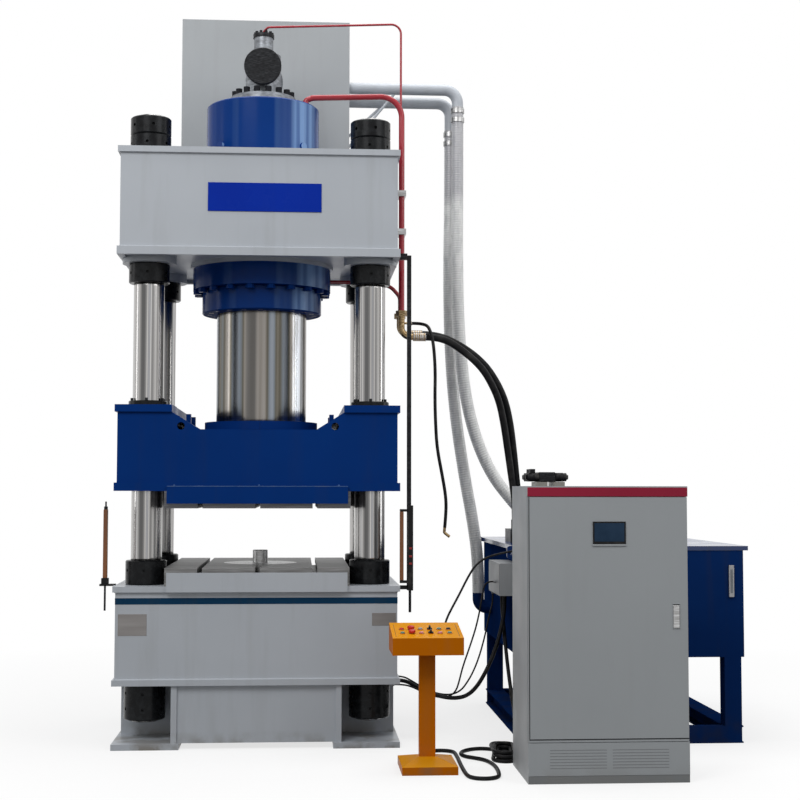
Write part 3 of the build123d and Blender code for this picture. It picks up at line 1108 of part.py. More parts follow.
def main():
    """Build every piece, put the origin under the middle and write the files."""
    make_columns()
    make_base()
    make_crown()
    screws = make_cylinder()
    valve_screws, nozzle = make_valve()
    keep("cylinder_screws", *screws, *valve_screws)
    slide_screws = make_ram() + make_slide()
    keep("slide_screws", *slide_screws)
    make_table()
    hose_clamps = make_upper_tank(nozzle)
    line_clamps, fittings = make_lines()
    keep("line_clamps", *line_clamps, *hose_clamps)
    keep("hose_fittings", *fittings)
    make_guards()
    make_power_unit()
    make_cabinet()
    make_pedestal()
    make_cords()
    solid_names = [name for name in nodes if name not in cords]
    boxes = [s.bounding_box() for name in solid_names for s in nodes[name]]
    low_x = min(b.min.X for b in boxes)
    high_x = max(b.max.X for b in boxes)
    low_y = min(b.min.Y for b in boxes)
    high_y = max(b.max.Y for b in boxes)
    shift = Pos(-(low_x + high_x) / 2, -(low_y + high_y) / 2, 0)
    print("press axis stands at", round(-(low_x + high_x) / 2, 3), round(-(low_y + high_y) / 2, 3))
    os.makedirs("parts", exist_ok=True)
    for name, solids in nodes.items():
        moved = [shift * s for s in solids]
        shape = moved[0] if len(moved) == 1 else Compound(children=moved)
        export_step(shape, "parts/" + name + ".step")


main()
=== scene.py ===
import math
import bpy
import numpy as np
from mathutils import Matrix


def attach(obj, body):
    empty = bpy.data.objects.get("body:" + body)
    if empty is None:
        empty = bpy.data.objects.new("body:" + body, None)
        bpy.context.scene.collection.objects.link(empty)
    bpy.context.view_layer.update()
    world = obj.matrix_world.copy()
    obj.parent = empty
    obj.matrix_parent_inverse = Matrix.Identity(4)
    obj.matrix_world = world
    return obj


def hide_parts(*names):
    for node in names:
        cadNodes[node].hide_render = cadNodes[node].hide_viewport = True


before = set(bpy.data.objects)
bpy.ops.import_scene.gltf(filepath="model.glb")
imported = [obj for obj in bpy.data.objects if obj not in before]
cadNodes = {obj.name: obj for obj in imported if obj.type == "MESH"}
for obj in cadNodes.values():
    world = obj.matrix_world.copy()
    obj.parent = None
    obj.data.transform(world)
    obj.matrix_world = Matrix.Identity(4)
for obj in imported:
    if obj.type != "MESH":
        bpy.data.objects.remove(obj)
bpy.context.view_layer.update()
pressX, pressY = -0.985, 0.3025  # the press's own axis, from the middle of the whole machine


# Small helpers for materials
def newMaterial(name):
    material = bpy.data.materials.new(name)
    material.use_nodes = True
    tree = material.node_tree
    where = tree.nodes.new("ShaderNodeTexCoord").outputs["Object"]
    return material, tree, tree.nodes["Principled BSDF"], where


def setInputs(node, values):
    for socket, value in values.items():
        node.inputs[socket].default_value = value


def stretched(tree, where, scale):
    mapping = tree.nodes.new("ShaderNodeMapping")
    mapping.inputs["Scale"].default_value = scale
    tree.links.new(where, mapping.inputs["Vector"])
    return mapping.outputs["Vector"]


def noise(tree, where, scale, detail=3.0):
    node = tree.nodes.new("ShaderNodeTexNoise")
    setInputs(node, {"Scale": scale, "Detail": detail})
    tree.links.new(where, node.inputs["Vector"])
    return node.outputs["Fac"]


def ramp(tree, factor, stops):
    node = tree.nodes.new("ShaderNodeValToRGB")
    first, last = node.color_ramp.elements
    first.position, last.position = stops[0][0], stops[-1][0]
    first.color, last.color = (*stops[0][1], 1), (*stops[-1][1], 1)
    for place, color in stops[1:-1]:
        node.color_ramp.elements.new(place).color = (*color, 1)
    tree.links.new(factor, node.inputs["Fac"])
    return node.outputs["Color"]


def span(tree, value, low, high, outLow, outHigh):
    node = tree.nodes.new("ShaderNodeMapRange")
    tree.links.new(value, node.inputs["Value"])
    setInputs(node, {"From Min": low, "From Max": high, "To Min": outLow, "To Max": outHigh})
    return node.outputs["Result"]


def combined(tree, operation, first, second):
    node = tree.nodes.new("ShaderNodeMath")
    node.operation = operation
    tree.links.new(first, node.inputs[0])
    tree.links.new(second, node.inputs[1])
    return node.outputs[0]


def times(tree, first, second):
    return combined(tree, "MULTIPLY", first, second)


def axisOf(tree, vector, axis):
    node = tree.nodes.new("ShaderNodeSeparateXYZ")
    tree.links.new(vector, node.inputs[0])
    return node.outputs[axis]


# One where the value lies between two limits, falling to nothing over a soft edge
def strip(tree, value, low, high):
    soft = 0.08
    return times(tree, span(tree, value, low, low + soft, 0, 1), span(tree, value, high, high + soft, 1, 0))


# One for rays of any of the named kinds
def rayShare(tree, *kinds):
    path = tree.nodes.new("ShaderNodeLightPath")
    total = path.outputs[kinds[0]]
    for kind in kinds[1:]:
        total = combined(tree, "MAXIMUM", total, path.outputs[kind])
    return total


def mixColor(tree, factor, first, second):
    node = tree.nodes.new("ShaderNodeMix")
    node.data_type = "RGBA"
    tree.links.new(factor, node.inputs["Factor"])
    for socket, value in ((node.inputs["A"], first), (node.inputs["B"], second)):
        if isinstance(value, tuple):
            socket.default_value = (*value, 1)
        else:
            tree.links.new(value, socket)
    return node.outputs["Result"]


def bump(tree, shader, height, strength, distance):
    node = tree.nodes.new("ShaderNodeBump")
    setInputs(node, {"Strength": strength, "Distance": distance})
    tree.links.new(height, node.inputs["Height"])
    tree.links.new(node.outputs["Normal"], shader.inputs["Normal"])


def setRoughness(tree, shader, factor, rough):
    tree.links.new(span(tree, factor, 0.3, 0.7, *rough), shader.inputs["Roughness"])


# From each level up another colour shows
def changedAbove(tree, where, paint, levels):
    for level, other in levels:
        paint = mixColor(tree, span(tree, axisOf(tree, where, "Z"), level, level + 0.002, 0, 1), paint, other)
    return paint


# A painted reflection of a tall window in a round wall: a strip of the faces that look one way, broken by
# fine upright streaks
def paintedWindowGleam(tree, facing, window, fineness, faint, full):
    streaks = noise(tree, stretched(tree, facing, (fineness, fineness, 0)), 1.0, 1)
    broken = span(tree, streaks, 0.35, 0.65, faint, full)
    return times(tree, strip(tree, axisOf(tree, facing, "X"), *window), broken)


# Sprayed enamel: two close shades in soft blotches, faint runs, dust and oil towards the floor, orange peel
def enamel(look):
    material, tree, shader, where = newMaterial(look["name"])
    blotch = noise(tree, where, look.get("blotch", 2.2), 4)
    paint = ramp(tree, blotch, [(0.32, look["shade"]), (0.68, look["color"])])
    runs = noise(tree, stretched(tree, where, (14, 14, 1.2)), 1.0, 4)
    paint = mixColor(tree, span(tree, runs, 0.52, 0.78, 0, look["runs"]), paint, look["dirt"])
    low = span(tree, axisOf(tree, where, "Z"), look.get("grimeTop", 0.3), 0.0, 0, 1)
    patch = span(tree, noise(tree, where, 6, 6), 0.46, 0.60, 0, look.get("grime", 0))
    paint = mixColor(tree, times(tree, low, patch), paint, look["dirt"])
    paint = changedAbove(tree, where, paint, look.get("above", ()))
    facing = where.node.outputs["Normal"]
    # Painted highlights: long soft gleams painted paler down a round wall by the way it faces, and a painted
    # window reflection on one side
    if "reflectionBands" in look:  # long soft gleams down a round wall, set by the way it faces
        gleam = noise(tree, stretched(tree, facing, look["reflectionBands"]), 1.0, 2)
        up = axisOf(tree, facing, "Z")
        upright = span(tree, times(tree, up, up), 0.1, 0.4, 1, 0)
        share = times(tree, span(tree, gleam, 0.50, 0.72, 0, 0.9), upright)
        paint = mixColor(tree, share, paint, look["gleamColor"])
        side = times(tree, paintedWindowGleam(tree, facing, look["window"], 9, 0.35, 0.9), upright)
        paint = mixColor(tree, side, paint, look["windowGleamColor"])
        under = span(tree, up, -0.9, -0.4, 1.02, 1.5)  # no floor gleam on the faces that look down
        tree.links.new(under, shader.inputs["IOR"])
    # Painted light: the faces that look up are painted paler than the sides, as light from above would make
    # them
    if "litTopColor" in look:  # what faces up is paler than the sides, as the photo shows it
        level = span(tree, axisOf(tree, facing, "Z"), 0.6, 0.8, 0, 0.85)
        paint = mixColor(tree, level, paint, look["litTopColor"])
    tree.links.new(paint, shader.inputs["Base Color"])
    setRoughness(tree, shader, noise(tree, where, 5, 4), look["rough"])
    setInputs(shader, {"Coat Weight": look.get("coat", 0), "Coat Roughness": 0.08,
                       "Specular IOR Level": look.get("shine", 0.4)})
    bump(tree, shader, noise(tree, where, look.get("peel", 220), 2), look.get("peelDepth", 0.12), 0.0006)
    return material


# Bare or plated metal: streaks stretched along one axis, changing colour and roughness together
def streakedMetal(look):
    material, tree, shader, where = newMaterial(look["name"])
    along = stretched(tree, where, look["stretch"])
    fine = noise(tree, along, 1.0, 5)
    shadow = span(tree, noise(tree, along, 0.35, 2), 0.38, 0.62, look.get("bandDepth", 0.5), 0)
    base = ramp(tree, fine, [(0.3, look["dark"]), (0.5, look["color"]), (0.7, look["bright"])])
    base = mixColor(tree, shadow, base, look["dark"])
    base = changedAbove(tree, where, base, look.get("above", ()))
    tree.links.new(base, shader.inputs["Base Color"])
    setInputs(shader, {"Metallic": look.get("metal", 1.0), "Specular IOR Level": look.get("shine", 0.5)})
    setRoughness(tree, shader, fine, look["rough"])
    bump(tree, shader, fine, look.get("depth", 0.05), 0.0004)
    return material


# Hard chrome: painted reflections in broad soft bands that follow the way the surface faces, like a hall seen
# in it, and the fine lines of its grinding
def hardChrome(look):
    material, tree, shader, where = newMaterial(look["name"])
    facing = where.node.outputs["Normal"]
    reflectionBands = ramp(tree, noise(tree, stretched(tree, facing, look["reflectionBands"]), 1.0, 1), look["hallReflection"])
    fine = noise(tree, stretched(tree, where, look["stretch"]), 1.0, 4)
    lines = ramp(tree, fine, [(0.3, look["dark"]), (0.7, look["bright"])])
    node = tree.nodes.new("ShaderNodeMix")
    node.data_type = "RGBA"
    node.blend_type = "MULTIPLY"
    node.inputs["Factor"].default_value = 1.0
    tree.links.new(reflectionBands, node.inputs["A"])
    tree.links.new(lines, node.inputs["B"])
    shown = node.outputs["Result"]
    shader.inputs["Metallic"].default_value = 1.0
    # A painted window reflection: a strip of the faces that look one way is painted paler
    if "window" in look:
        side = paintedWindowGleam(tree, facing, look["window"], 14, 0.3, 1.0)
        shown = mixColor(tree, side, shown, look["windowGleamColor"])
    if "foot" in look:  # paint from the flange reaches a little way up the chrome
        clean = span(tree, axisOf(tree, where, "Z"), look["foot"], look["foot"] + 0.002, 0, 1)
        shown = mixColor(tree, clean, bluePaint["color"], shown)
        tree.links.new(clean, shader.inputs["Metallic"])
    tree.links.new(shown, shader.inputs["Base Color"])
    setRoughness(tree, shader, fine, look["rough"])
    bump(tree, shader, fine, 0.03, 0.0003)
    return material


# Moulded plastic and rubber: nearly one colour, fine grain, a little dust
def moulded(look):
    material, tree, shader, where = newMaterial(look["name"])
    grain = noise(tree, where, 500, 3)
    dust = span(tree, noise(tree, where, 18, 4), 0.5, 0.8, 0, look.get("dust", 0.25))
    dustColor = (0.2, 0.19, 0.17)
    tree.links.new(mixColor(tree, dust, look["color"], dustColor), shader.inputs["Base Color"])
    shader.inputs["Specular IOR Level"].default_value = look.get("shine", 0.25)
    setRoughness(tree, shader, grain, look["rough"])
    bump(tree, shader, grain, 0.1, 0.0003)
    return material


pressPaint = dict(
    name="pressPaint", color=(0.455, 0.485, 0.525), shade=(0.43, 0.46, 0.50), dirt=(0.16, 0.14, 0.11),
    rough=(0.32, 0.46), runs=0.12, grime=0.85, grimeTop=0.10,
)
bluePaint = dict(
    name="bluePaint", color=(0.003, 0.034, 0.186), shade=(0.003, 0.030, 0.165), dirt=(0.03, 0.035, 0.05),
    rough=(0.25, 0.38), shine=0.02, runs=0.12,
)
# The barrel's paler gleam and window colours are painted highlights and a painted window reflection
barrelPaint = dict(
    bluePaint, name="barrelPaint", color=(0.004, 0.038, 0.20), shade=(0.003, 0.033, 0.175),
    rough=(0.16, 0.26), shine=0.06, reflectionBands=(2.6, 2.6, 0.0), gleamColor=(0.06, 0.12, 0.27),
    window=(0.50, 0.86), windowGleamColor=(0.22, 0.36, 0.62),
)
tankPaint = dict(
    name="tankPaint", color=(0.35, 0.37, 0.385), shade=(0.335, 0.355, 0.37), dirt=(0.26, 0.26, 0.26),
    rough=(0.38, 0.52), runs=0.2,
)
navyPaint = dict(
    name="navyPaint", color=(0.005, 0.028, 0.130), shade=(0.004, 0.023, 0.110), dirt=(0.03, 0.03, 0.035),
    rough=(0.3, 0.45), shine=0.0, runs=0.3, grime=0.4,
)
lidPaint = dict(navyPaint, name="lidPaint", shine=0.5, rough=(0.10, 0.2))
cabinetPaint = dict(
    name="cabinetPaint", color=(0.350, 0.372, 0.388), shade=(0.336, 0.357, 0.373), dirt=(0.20, 0.19, 0.17),
    rough=(0.42, 0.56), runs=0.06, grime=0.3, grimeTop=0.12, peel=420, peelDepth=0.3,
)
boxPaint = dict(
    name="boxPaint", color=(0.24, 0.25, 0.26), shade=(0.21, 0.22, 0.23), dirt=(0.08, 0.08, 0.08),
    rough=(0.4, 0.55), runs=0.3,
)
# The desk's paler colour for faces that look up is painted light from above
deskPaint = dict(
    name="deskPaint", color=(0.56, 0.150, 0.001), shade=(0.52, 0.132, 0.001), dirt=(0.20, 0.14, 0.08),
    rough=(0.30, 0.44), runs=0.15, grime=0.6, grimeTop=0.16, shine=0.03, litTopColor=(0.74, 0.31, 0.006),
)
redPaint = dict(
    name="redPaint", color=(0.38, 0.011, 0.026), shade=(0.32, 0.009, 0.020), dirt=(0.10, 0.02, 0.03),
    rough=(0.15, 0.25), coat=0.12, runs=0.2,
)
screwPaint = dict(bluePaint, name="screwPaint", above=[(3.600, (0.022, 0.023, 0.026))])
motorPaint = dict(
    name="motorPaint", color=(0.05, 0.07, 0.11), shade=(0.04, 0.055, 0.09), dirt=(0.05, 0.045, 0.04),
    rough=(0.35, 0.5), runs=0.3,
)
bronzePaint = dict(
    name="bronzePaint", color=(0.22, 0.080, 0.024), shade=(0.17, 0.060, 0.020), dirt=(0.04, 0.03, 0.02),
    rough=(0.3, 0.45), runs=0.3,
)
# The chrome's hall colours are painted reflections of a room round it
chromed = dict(
    name="chromed",
    hallReflection=[(0.36, (0.13, 0.13, 0.13)), (0.45, (0.34, 0.335, 0.33)), (0.52, (0.60, 0.59, 0.58)),
          (0.60, (0.26, 0.26, 0.27)), (0.68, (0.70, 0.72, 0.75))], reflectionBands=(2.1, 2.1, 0.1),
    dark=(0.78, 0.77, 0.76), bright=(0.98, 0.98, 0.98), stretch=(60, 60, 0.6), rough=(0.16, 0.26),
)
# The ram's hall and window colours are painted reflections
ramChrome = dict(
    chromed, name="ramChrome", reflectionBands=(2.4, 2.4, 0.1), stretch=(40, 40, 0.5), dark=(0.70, 0.69, 0.67),
    foot=1.878, window=(0.68, 0.86), windowGleamColor=(0.85, 0.89, 0.95),
    hallReflection=[(0.34, (0.13, 0.125, 0.12)), (0.43, (0.30, 0.28, 0.26)), (0.50, (0.12, 0.11, 0.085)),
          (0.57, (0.22, 0.25, 0.29)), (0.66, (0.50, 0.52, 0.57))],
)
bareSteel = dict(
    name="bareSteel", color=(0.42, 0.42, 0.42), bright=(0.60, 0.61, 0.62), dark=(0.22, 0.215, 0.21),
    stretch=(18, 220, 220), rough=(0.28, 0.45),
)
darkSteel = dict(
    name="darkSteel", color=(0.018, 0.019, 0.021), bright=(0.040, 0.042, 0.046), dark=(0.008, 0.008, 0.009),
    stretch=(40, 40, 160), rough=(0.28, 0.42), metal=0.3, shine=0.12,
)
blackOxide = dict(
    name="blackOxide", color=(0.009, 0.010, 0.011), bright=(0.017, 0.018, 0.020),
    dark=(0.006, 0.006, 0.007), stretch=(30, 30, 30), rough=(0.22, 0.32), metal=0.3, shine=0.15, depth=0.01,
)
valveCast = dict(
    name="valveCast", color=(0.22, 0.235, 0.255), bright=(0.34, 0.36, 0.385), dark=(0.12, 0.125, 0.135),
    stretch=(30, 30, 90), rough=(0.35, 0.5), metal=0.7, shine=0.3,
)
tableSteel = dict(
    name="tableSteel", color=(0.20, 0.20, 0.20), bright=(0.30, 0.30, 0.30), dark=(0.12, 0.118, 0.115),
    stretch=(6, 90, 90), rough=(0.4, 0.55), metal=0.4, shine=0.3, bandDepth=0.6,
)
discSteel = dict(
    tableSteel, name="discSteel", color=(0.56, 0.56, 0.56), bright=(0.74, 0.74, 0.74),
    dark=(0.36, 0.36, 0.36), stretch=(60, 60, 60), rough=(0.25, 0.4),
)
dieSteel = dict(
    name="dieSteel", color=(0.10, 0.10, 0.11), bright=(0.17, 0.17, 0.18), dark=(0.055, 0.056, 0.060),
    stretch=(6, 6, 120), rough=(0.35, 0.5), metal=0.5,
)
valveSteel = dict(
    name="valveSteel", color=(0.030, 0.032, 0.036), bright=(0.05, 0.052, 0.056), dark=(0.015, 0.015, 0.016),
    stretch=(60, 60, 60), rough=(0.3, 0.5), metal=0.4, shine=0.2,
    above=[(1.300, (0.26, 0.25, 0.225)), (1.528, (0.012, 0.012, 0.013))],
)
castIron = dict(
    name="castIron", color=(0.09, 0.09, 0.09), bright=(0.16, 0.16, 0.16), dark=(0.04, 0.04, 0.04),
    stretch=(60, 60, 60), rough=(0.45, 0.6), metal=0.5, depth=0.4, shine=0.2,
)
brassy = dict(
    name="brassy", color=(0.26, 0.18, 0.09), bright=(0.46, 0.36, 0.22), dark=(0.12, 0.075, 0.035),
    stretch=(60, 60, 240), rough=(0.22, 0.36),
)
blackRubber = dict(
    name="blackRubber", color=(0.009, 0.009, 0.010), rough=(0.38, 0.55), dust=0.12, shine=0.10,
)
blackPlastic = dict(name="blackPlastic", color=(0.010, 0.010, 0.011), rough=(0.3, 0.42), shine=0.12)
redPlastic = dict(name="redPlastic", color=(0.55, 0.02, 0.015), rough=(0.18, 0.28), dust=0.1)
greenPlastic = dict(name="greenPlastic", color=(0.10, 0.22, 0.16), rough=(0.2, 0.3), dust=0.1)
greyPlastic = dict(name="greyPlastic", color=(0.26, 0.28, 0.28), rough=(0.25, 0.35), dust=0.1)
pinkPlastic = dict(name="pinkPlastic", color=(0.62, 0.20, 0.22), rough=(0.2, 0.3), dust=0.1)

finishes = {}


def addFinishes(make, *looks):
    for look in looks:
        finishes[look["name"]] = make(look)


addFinishes(enamel, pressPaint, bluePaint, barrelPaint, screwPaint, tankPaint, navyPaint, lidPaint,
            cabinetPaint, boxPaint, deskPaint, redPaint, motorPaint, bronzePaint)
addFinishes(streakedMetal, bareSteel, tableSteel, discSteel, valveCast, darkSteel, blackOxide, dieSteel,
            valveSteel, castIron, brassy)
addFinishes(hardChrome, chromed, ramChrome)
addFinishes(moulded, blackRubber, blackPlastic, redPlastic, greenPlastic, greyPlastic, pinkPlastic)

dressing = {
    "pressPaint": ["base_frame", "crown_beam", "ejector_cylinder", "return_pipes"],
    "bluePaint": ["ram_flange", "slide_body"],
    "barrelPaint": ["cylinder_barrel", "gland_ring"],
    "screwPaint": ["cylinder_screws"],
    "tankPaint": ["prefill_tank"],
    "navyPaint": ["oil_tank"],
    "lidPaint": ["tank_lid"],
    "cabinetPaint": ["cabinet_case", "cabinet_door"],
    "boxPaint": ["terminal_box"],
    "deskPaint": ["pedestal_stand", "pedestal_desk"],
    "redPaint": ["oil_lines"],
    "motorPaint": ["pump_motor"],
    "bronzePaint": ["side_guards"],
    "chromed": ["columns"],
    "ramChrome": ["ram"],
    "valveCast": ["prefill_valve"],
    "bareSteel": ["line_clamps", "ejector_pin", "door_handle"],
    "valveSteel": ["valve_manifold"],
    "darkSteel": ["slide_screws", "valve_blanks"],
    "blackOxide": ["column_nuts", "guide_bushes"],
    "dieSteel": ["slide_die_plate"],
    "tableSteel": ["table_plate"],
    "discSteel": ["table_centre_disc"],
    "castIron": ["oil_pump"],
    "brassy": ["hose_fittings"],
    "blackPlastic": ["mode_selector", "speed_selector", "black_button"],
    "redPlastic": ["red_button", "stop_button", "press_button"],
    "greenPlastic": ["green_button", "ready_button", "start_button"],
    "greyPlastic": ["grey_button", "control_gear"],
    "pinkPlastic": ["pink_button", "raise_button"],
}
for finish, names in dressing.items():
    for name in names:
        shown = cadNodes[name].data.materials
        shown.clear()
        shown.append(finishes[finish])
print("materials done")


# Stage, lights and camera
studio = {
    "floorSize": 60.0, "fade": (2.2, 6.0, 0.72, 1.0), "bounce": 0.15, "sky": 0.42,
    "lens": 66.28, "eye": (-0.749, -8.8795, 1.488), "turn": (93.43, -0.07, -3.92),
}


# Round the machine the floor is lit and takes its shadow; further off it fades into the white behind
def whiteStage():
    material, tree, shader, where = newMaterial("studioWhite")
    shader.inputs["Roughness"].default_value = 0.9
    pale = ramp(tree, noise(tree, where, 0.8), [(0.3, (0.93, 0.93, 0.93)), (0.7, (0.95, 0.95, 0.95))])
    seen = rayShare(tree, "Is Camera Ray", "Is Glossy Ray")
    under = (studio["bounce"],) * 3
    tree.links.new(mixColor(tree, seen, under, pale), shader.inputs["Base Color"])
    distance = tree.nodes.new("ShaderNodeVectorMath")
    distance.operation = "LENGTH"
    tree.links.new(where, distance.inputs[0])
    glow = tree.nodes.new("ShaderNodeEmission")
    share = span(tree, distance.outputs["Value"], *studio["fade"])
    mix = tree.nodes.new("ShaderNodeMixShader")
    tree.links.new(times(tree, seen, share), mix.inputs["Fac"])
    tree.links.new(shader.outputs["BSDF"], mix.inputs[1])
    tree.links.new(glow.outputs[0], mix.inputs[2])
    tree.links.new(mix.outputs[0], tree.nodes["Material Output"].inputs["Surface"])
    half = studio["floorSize"] / 2
    mesh = bpy.data.meshes.new("floor")
    corners = [(-half, -half, 0), (half, -half, 0), (half, half, 0), (-half, half, 0)]
    mesh.from_pydata(corners, [], [(0, 1, 2, 3)])
    floor = bpy.data.objects.new("floor", mesh)
    floor.data.materials.append(material)
    bpy.context.scene.collection.objects.link(floor)


def lightsAndSky():
    world = bpy.data.worlds.new("studioSky")
    bpy.context.scene.world = world
    world.use_nodes = True
    tree = world.node_tree
    sky = tree.nodes["Background"]
    sky.inputs["Color"].default_value = (1.0, 1.0, 1.0, 1)
    total = rayShare(tree, "Is Camera Ray", "Is Glossy Ray", "Is Transmission Ray")
    strength = span(tree, total, 0, 1, studio["sky"], 1.0)
    tree.links.new(strength, sky.inputs["Strength"])
    for name, place, aim, size, power in (
            ("keyLight", (-4.0, -6.0, 7.5), (-0.8, 0.0, 3.0), (4.0, 4.0), 300),
            ("fillLight", (5.0, -5.0, 6.5), (0.2, 0.0, 2.0), (4.0, 4.0), 140),
            ("topLight", (0.0, 0.5, 8.5), (0.0, 0.2, 1.0), (5.0, 5.0), 300),
            ("rightWindow", (6.5, 0.6, 3.2), (-1.0, 0.3, 2.6), (1.1, 4.5), 60),
            ("leftWindow", (-8.0, 0.2, 3.2), (-1.0, 0.3, 2.6), (1.0, 4.5), 35)):
        lamp = bpy.data.lights.new(name, "AREA")
        lamp.shape = "RECTANGLE"
        lamp.size, lamp.size_y = size
        lamp.energy = power
        holder = bpy.data.objects.new(name, lamp)
        holder.visible_camera = False
        holder.location = place
        aimed = np.array(aim) - np.array(place)
        flat = math.hypot(aimed[0], aimed[1])
        holder.rotation_euler = (math.atan2(flat, -aimed[2]), 0, math.atan2(aimed[1], aimed[0]) - math.pi / 2)
        bpy.context.scene.collection.objects.link(holder)


def setCamera():
    camera = bpy.data.objects.new("camera", bpy.data.cameras.new("camera"))
    camera.data.sensor_width = 36.0
    camera.data.lens = studio["lens"]
    camera.data.clip_end = 100
    camera.location = studio["eye"]
    camera.rotation_euler = [math.radians(a) for a in studio["turn"]]
    bpy.context.scene.collection.objects.link(camera)
    bpy.context.scene.camera = camera
    bpy.context.scene.view_settings.view_transform = "Standard"


whiteStage()
lightsAndSky()
setCamera()
print("stage done")


def meshPiece(name, points, faces, finish, body="press", uv=None, smooth=True):
    mesh = bpy.data.meshes.new(name)
    mesh.from_pydata(np.asarray(points, dtype=float).reshape(-1, 3).tolist(), [], faces)
    if uv is not None:
        layer = mesh.uv_layers.new(name="UVMap")
        corner = np.empty(len(mesh.loops), dtype=np.int32)
        mesh.loops.foreach_get("vertex_index", corner)
        layer.data.foreach_set("uv", np.asarray(uv, dtype=float)[corner].ravel())
    mesh.polygons.foreach_set("use_smooth", [smooth] * len(mesh.polygons))
    mesh.materials.append(finishes[finish])
    mesh.update()
    piece = bpy.data.objects.new(name, mesh)
    bpy.context.scene.collection.objects.link(piece)
    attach(piece, body)
    return piece


# Faces of a grid of rows x columns, each row a closed loop, with the first and last rows capped
def loopFaces(rows, columns):
    r, c = np.meshgrid(np.arange(rows - 1), np.arange(columns), indexing="ij")
    here, down, after = r * columns, (r + 1) * columns, (c + 1) % columns
    quads = np.stack([here + c, here + after, down + after, down + c], -1)
    faces = quads.reshape(-1, 4).tolist()
    faces.append(np.arange(columns)[::-1].tolist())
    faces.append((np.arange(columns) + (rows - 1) * columns).tolist())
    return faces


# Frames that roll as little as possible along a path: each side vector is the last one,
# made square to the new run
def sideVectors(path):
    along = np.gradient(path, axis=0)
    along /= np.linalg.norm(along, axis=1)[:, None]
    side = np.empty_like(path)
    guess = np.array([0.0, 0.0, 1.0]) if abs(along[0][2]) < 0.9 else np.array([1.0, 0.0, 0.0])
    for i, run in enumerate(along):
        guess = guess - run * guess.dot(run)
        guess /= np.linalg.norm(guess)
        side[i] = guess
    return along, side, np.cross(along, side)


# A round tube whose radius may change along its path: point = path + radius * (cos a * side + sin a * up)
def tubeShape(path, radius, around):
    along, side, up = sideVectors(path)
    angle = np.linspace(0, 2 * np.pi, around, endpoint=False)
    radius = np.broadcast_to(np.asarray(radius, dtype=float).reshape(-1, 1, 1), (len(path), 1, 1))
    ring = np.cos(angle)[None, :, None] * side[:, None] + np.sin(angle)[None, :, None] * up[:, None]
    points = path[:, None] + radius * ring
    length = np.concatenate([[0], np.cumsum(np.linalg.norm(np.diff(path, axis=0), axis=1))])
    uv = np.stack(np.broadcast_arrays(angle[None] / (2 * np.pi), length[:, None]), -1)
    return points.reshape(-1, 3), loopFaces(len(path), around), uv.reshape(-1, 2)


# The smooth line along a route: a NURBS curve with the route's points as its control points,
# read at even steps
def routeLine(name, route, step):
    curve = bpy.data.curves.new(name, "CURVE")
    curve.dimensions = "3D"
    curve.resolution_u = 24
    spline = curve.splines.new("NURBS")
    spline.points.add(len(route) - 1)
    spline.points.foreach_set("co", np.c_[np.array(route, dtype=float), np.ones(len(route))].ravel())
    spline.order_u = 3
    spline.use_endpoint_u = True
    holder = bpy.data.objects.new(name, curve)
    line = bpy.data.meshes.new_from_object(holder)
    points = np.empty(len(line.vertices) * 3)
    line.vertices.foreach_get("co", points)
    points = points.reshape(-1, 3)
    bpy.data.objects.remove(holder)
    length = np.concatenate([[0], np.cumsum(np.linalg.norm(np.diff(points, axis=0), axis=1))])
    even = np.linspace(0, length[-1], max(2, int(round(length[-1] / step)) + 1))
    return np.stack([np.interp(even, length, points[:, k]) for k in range(3)], -1), length[-1]


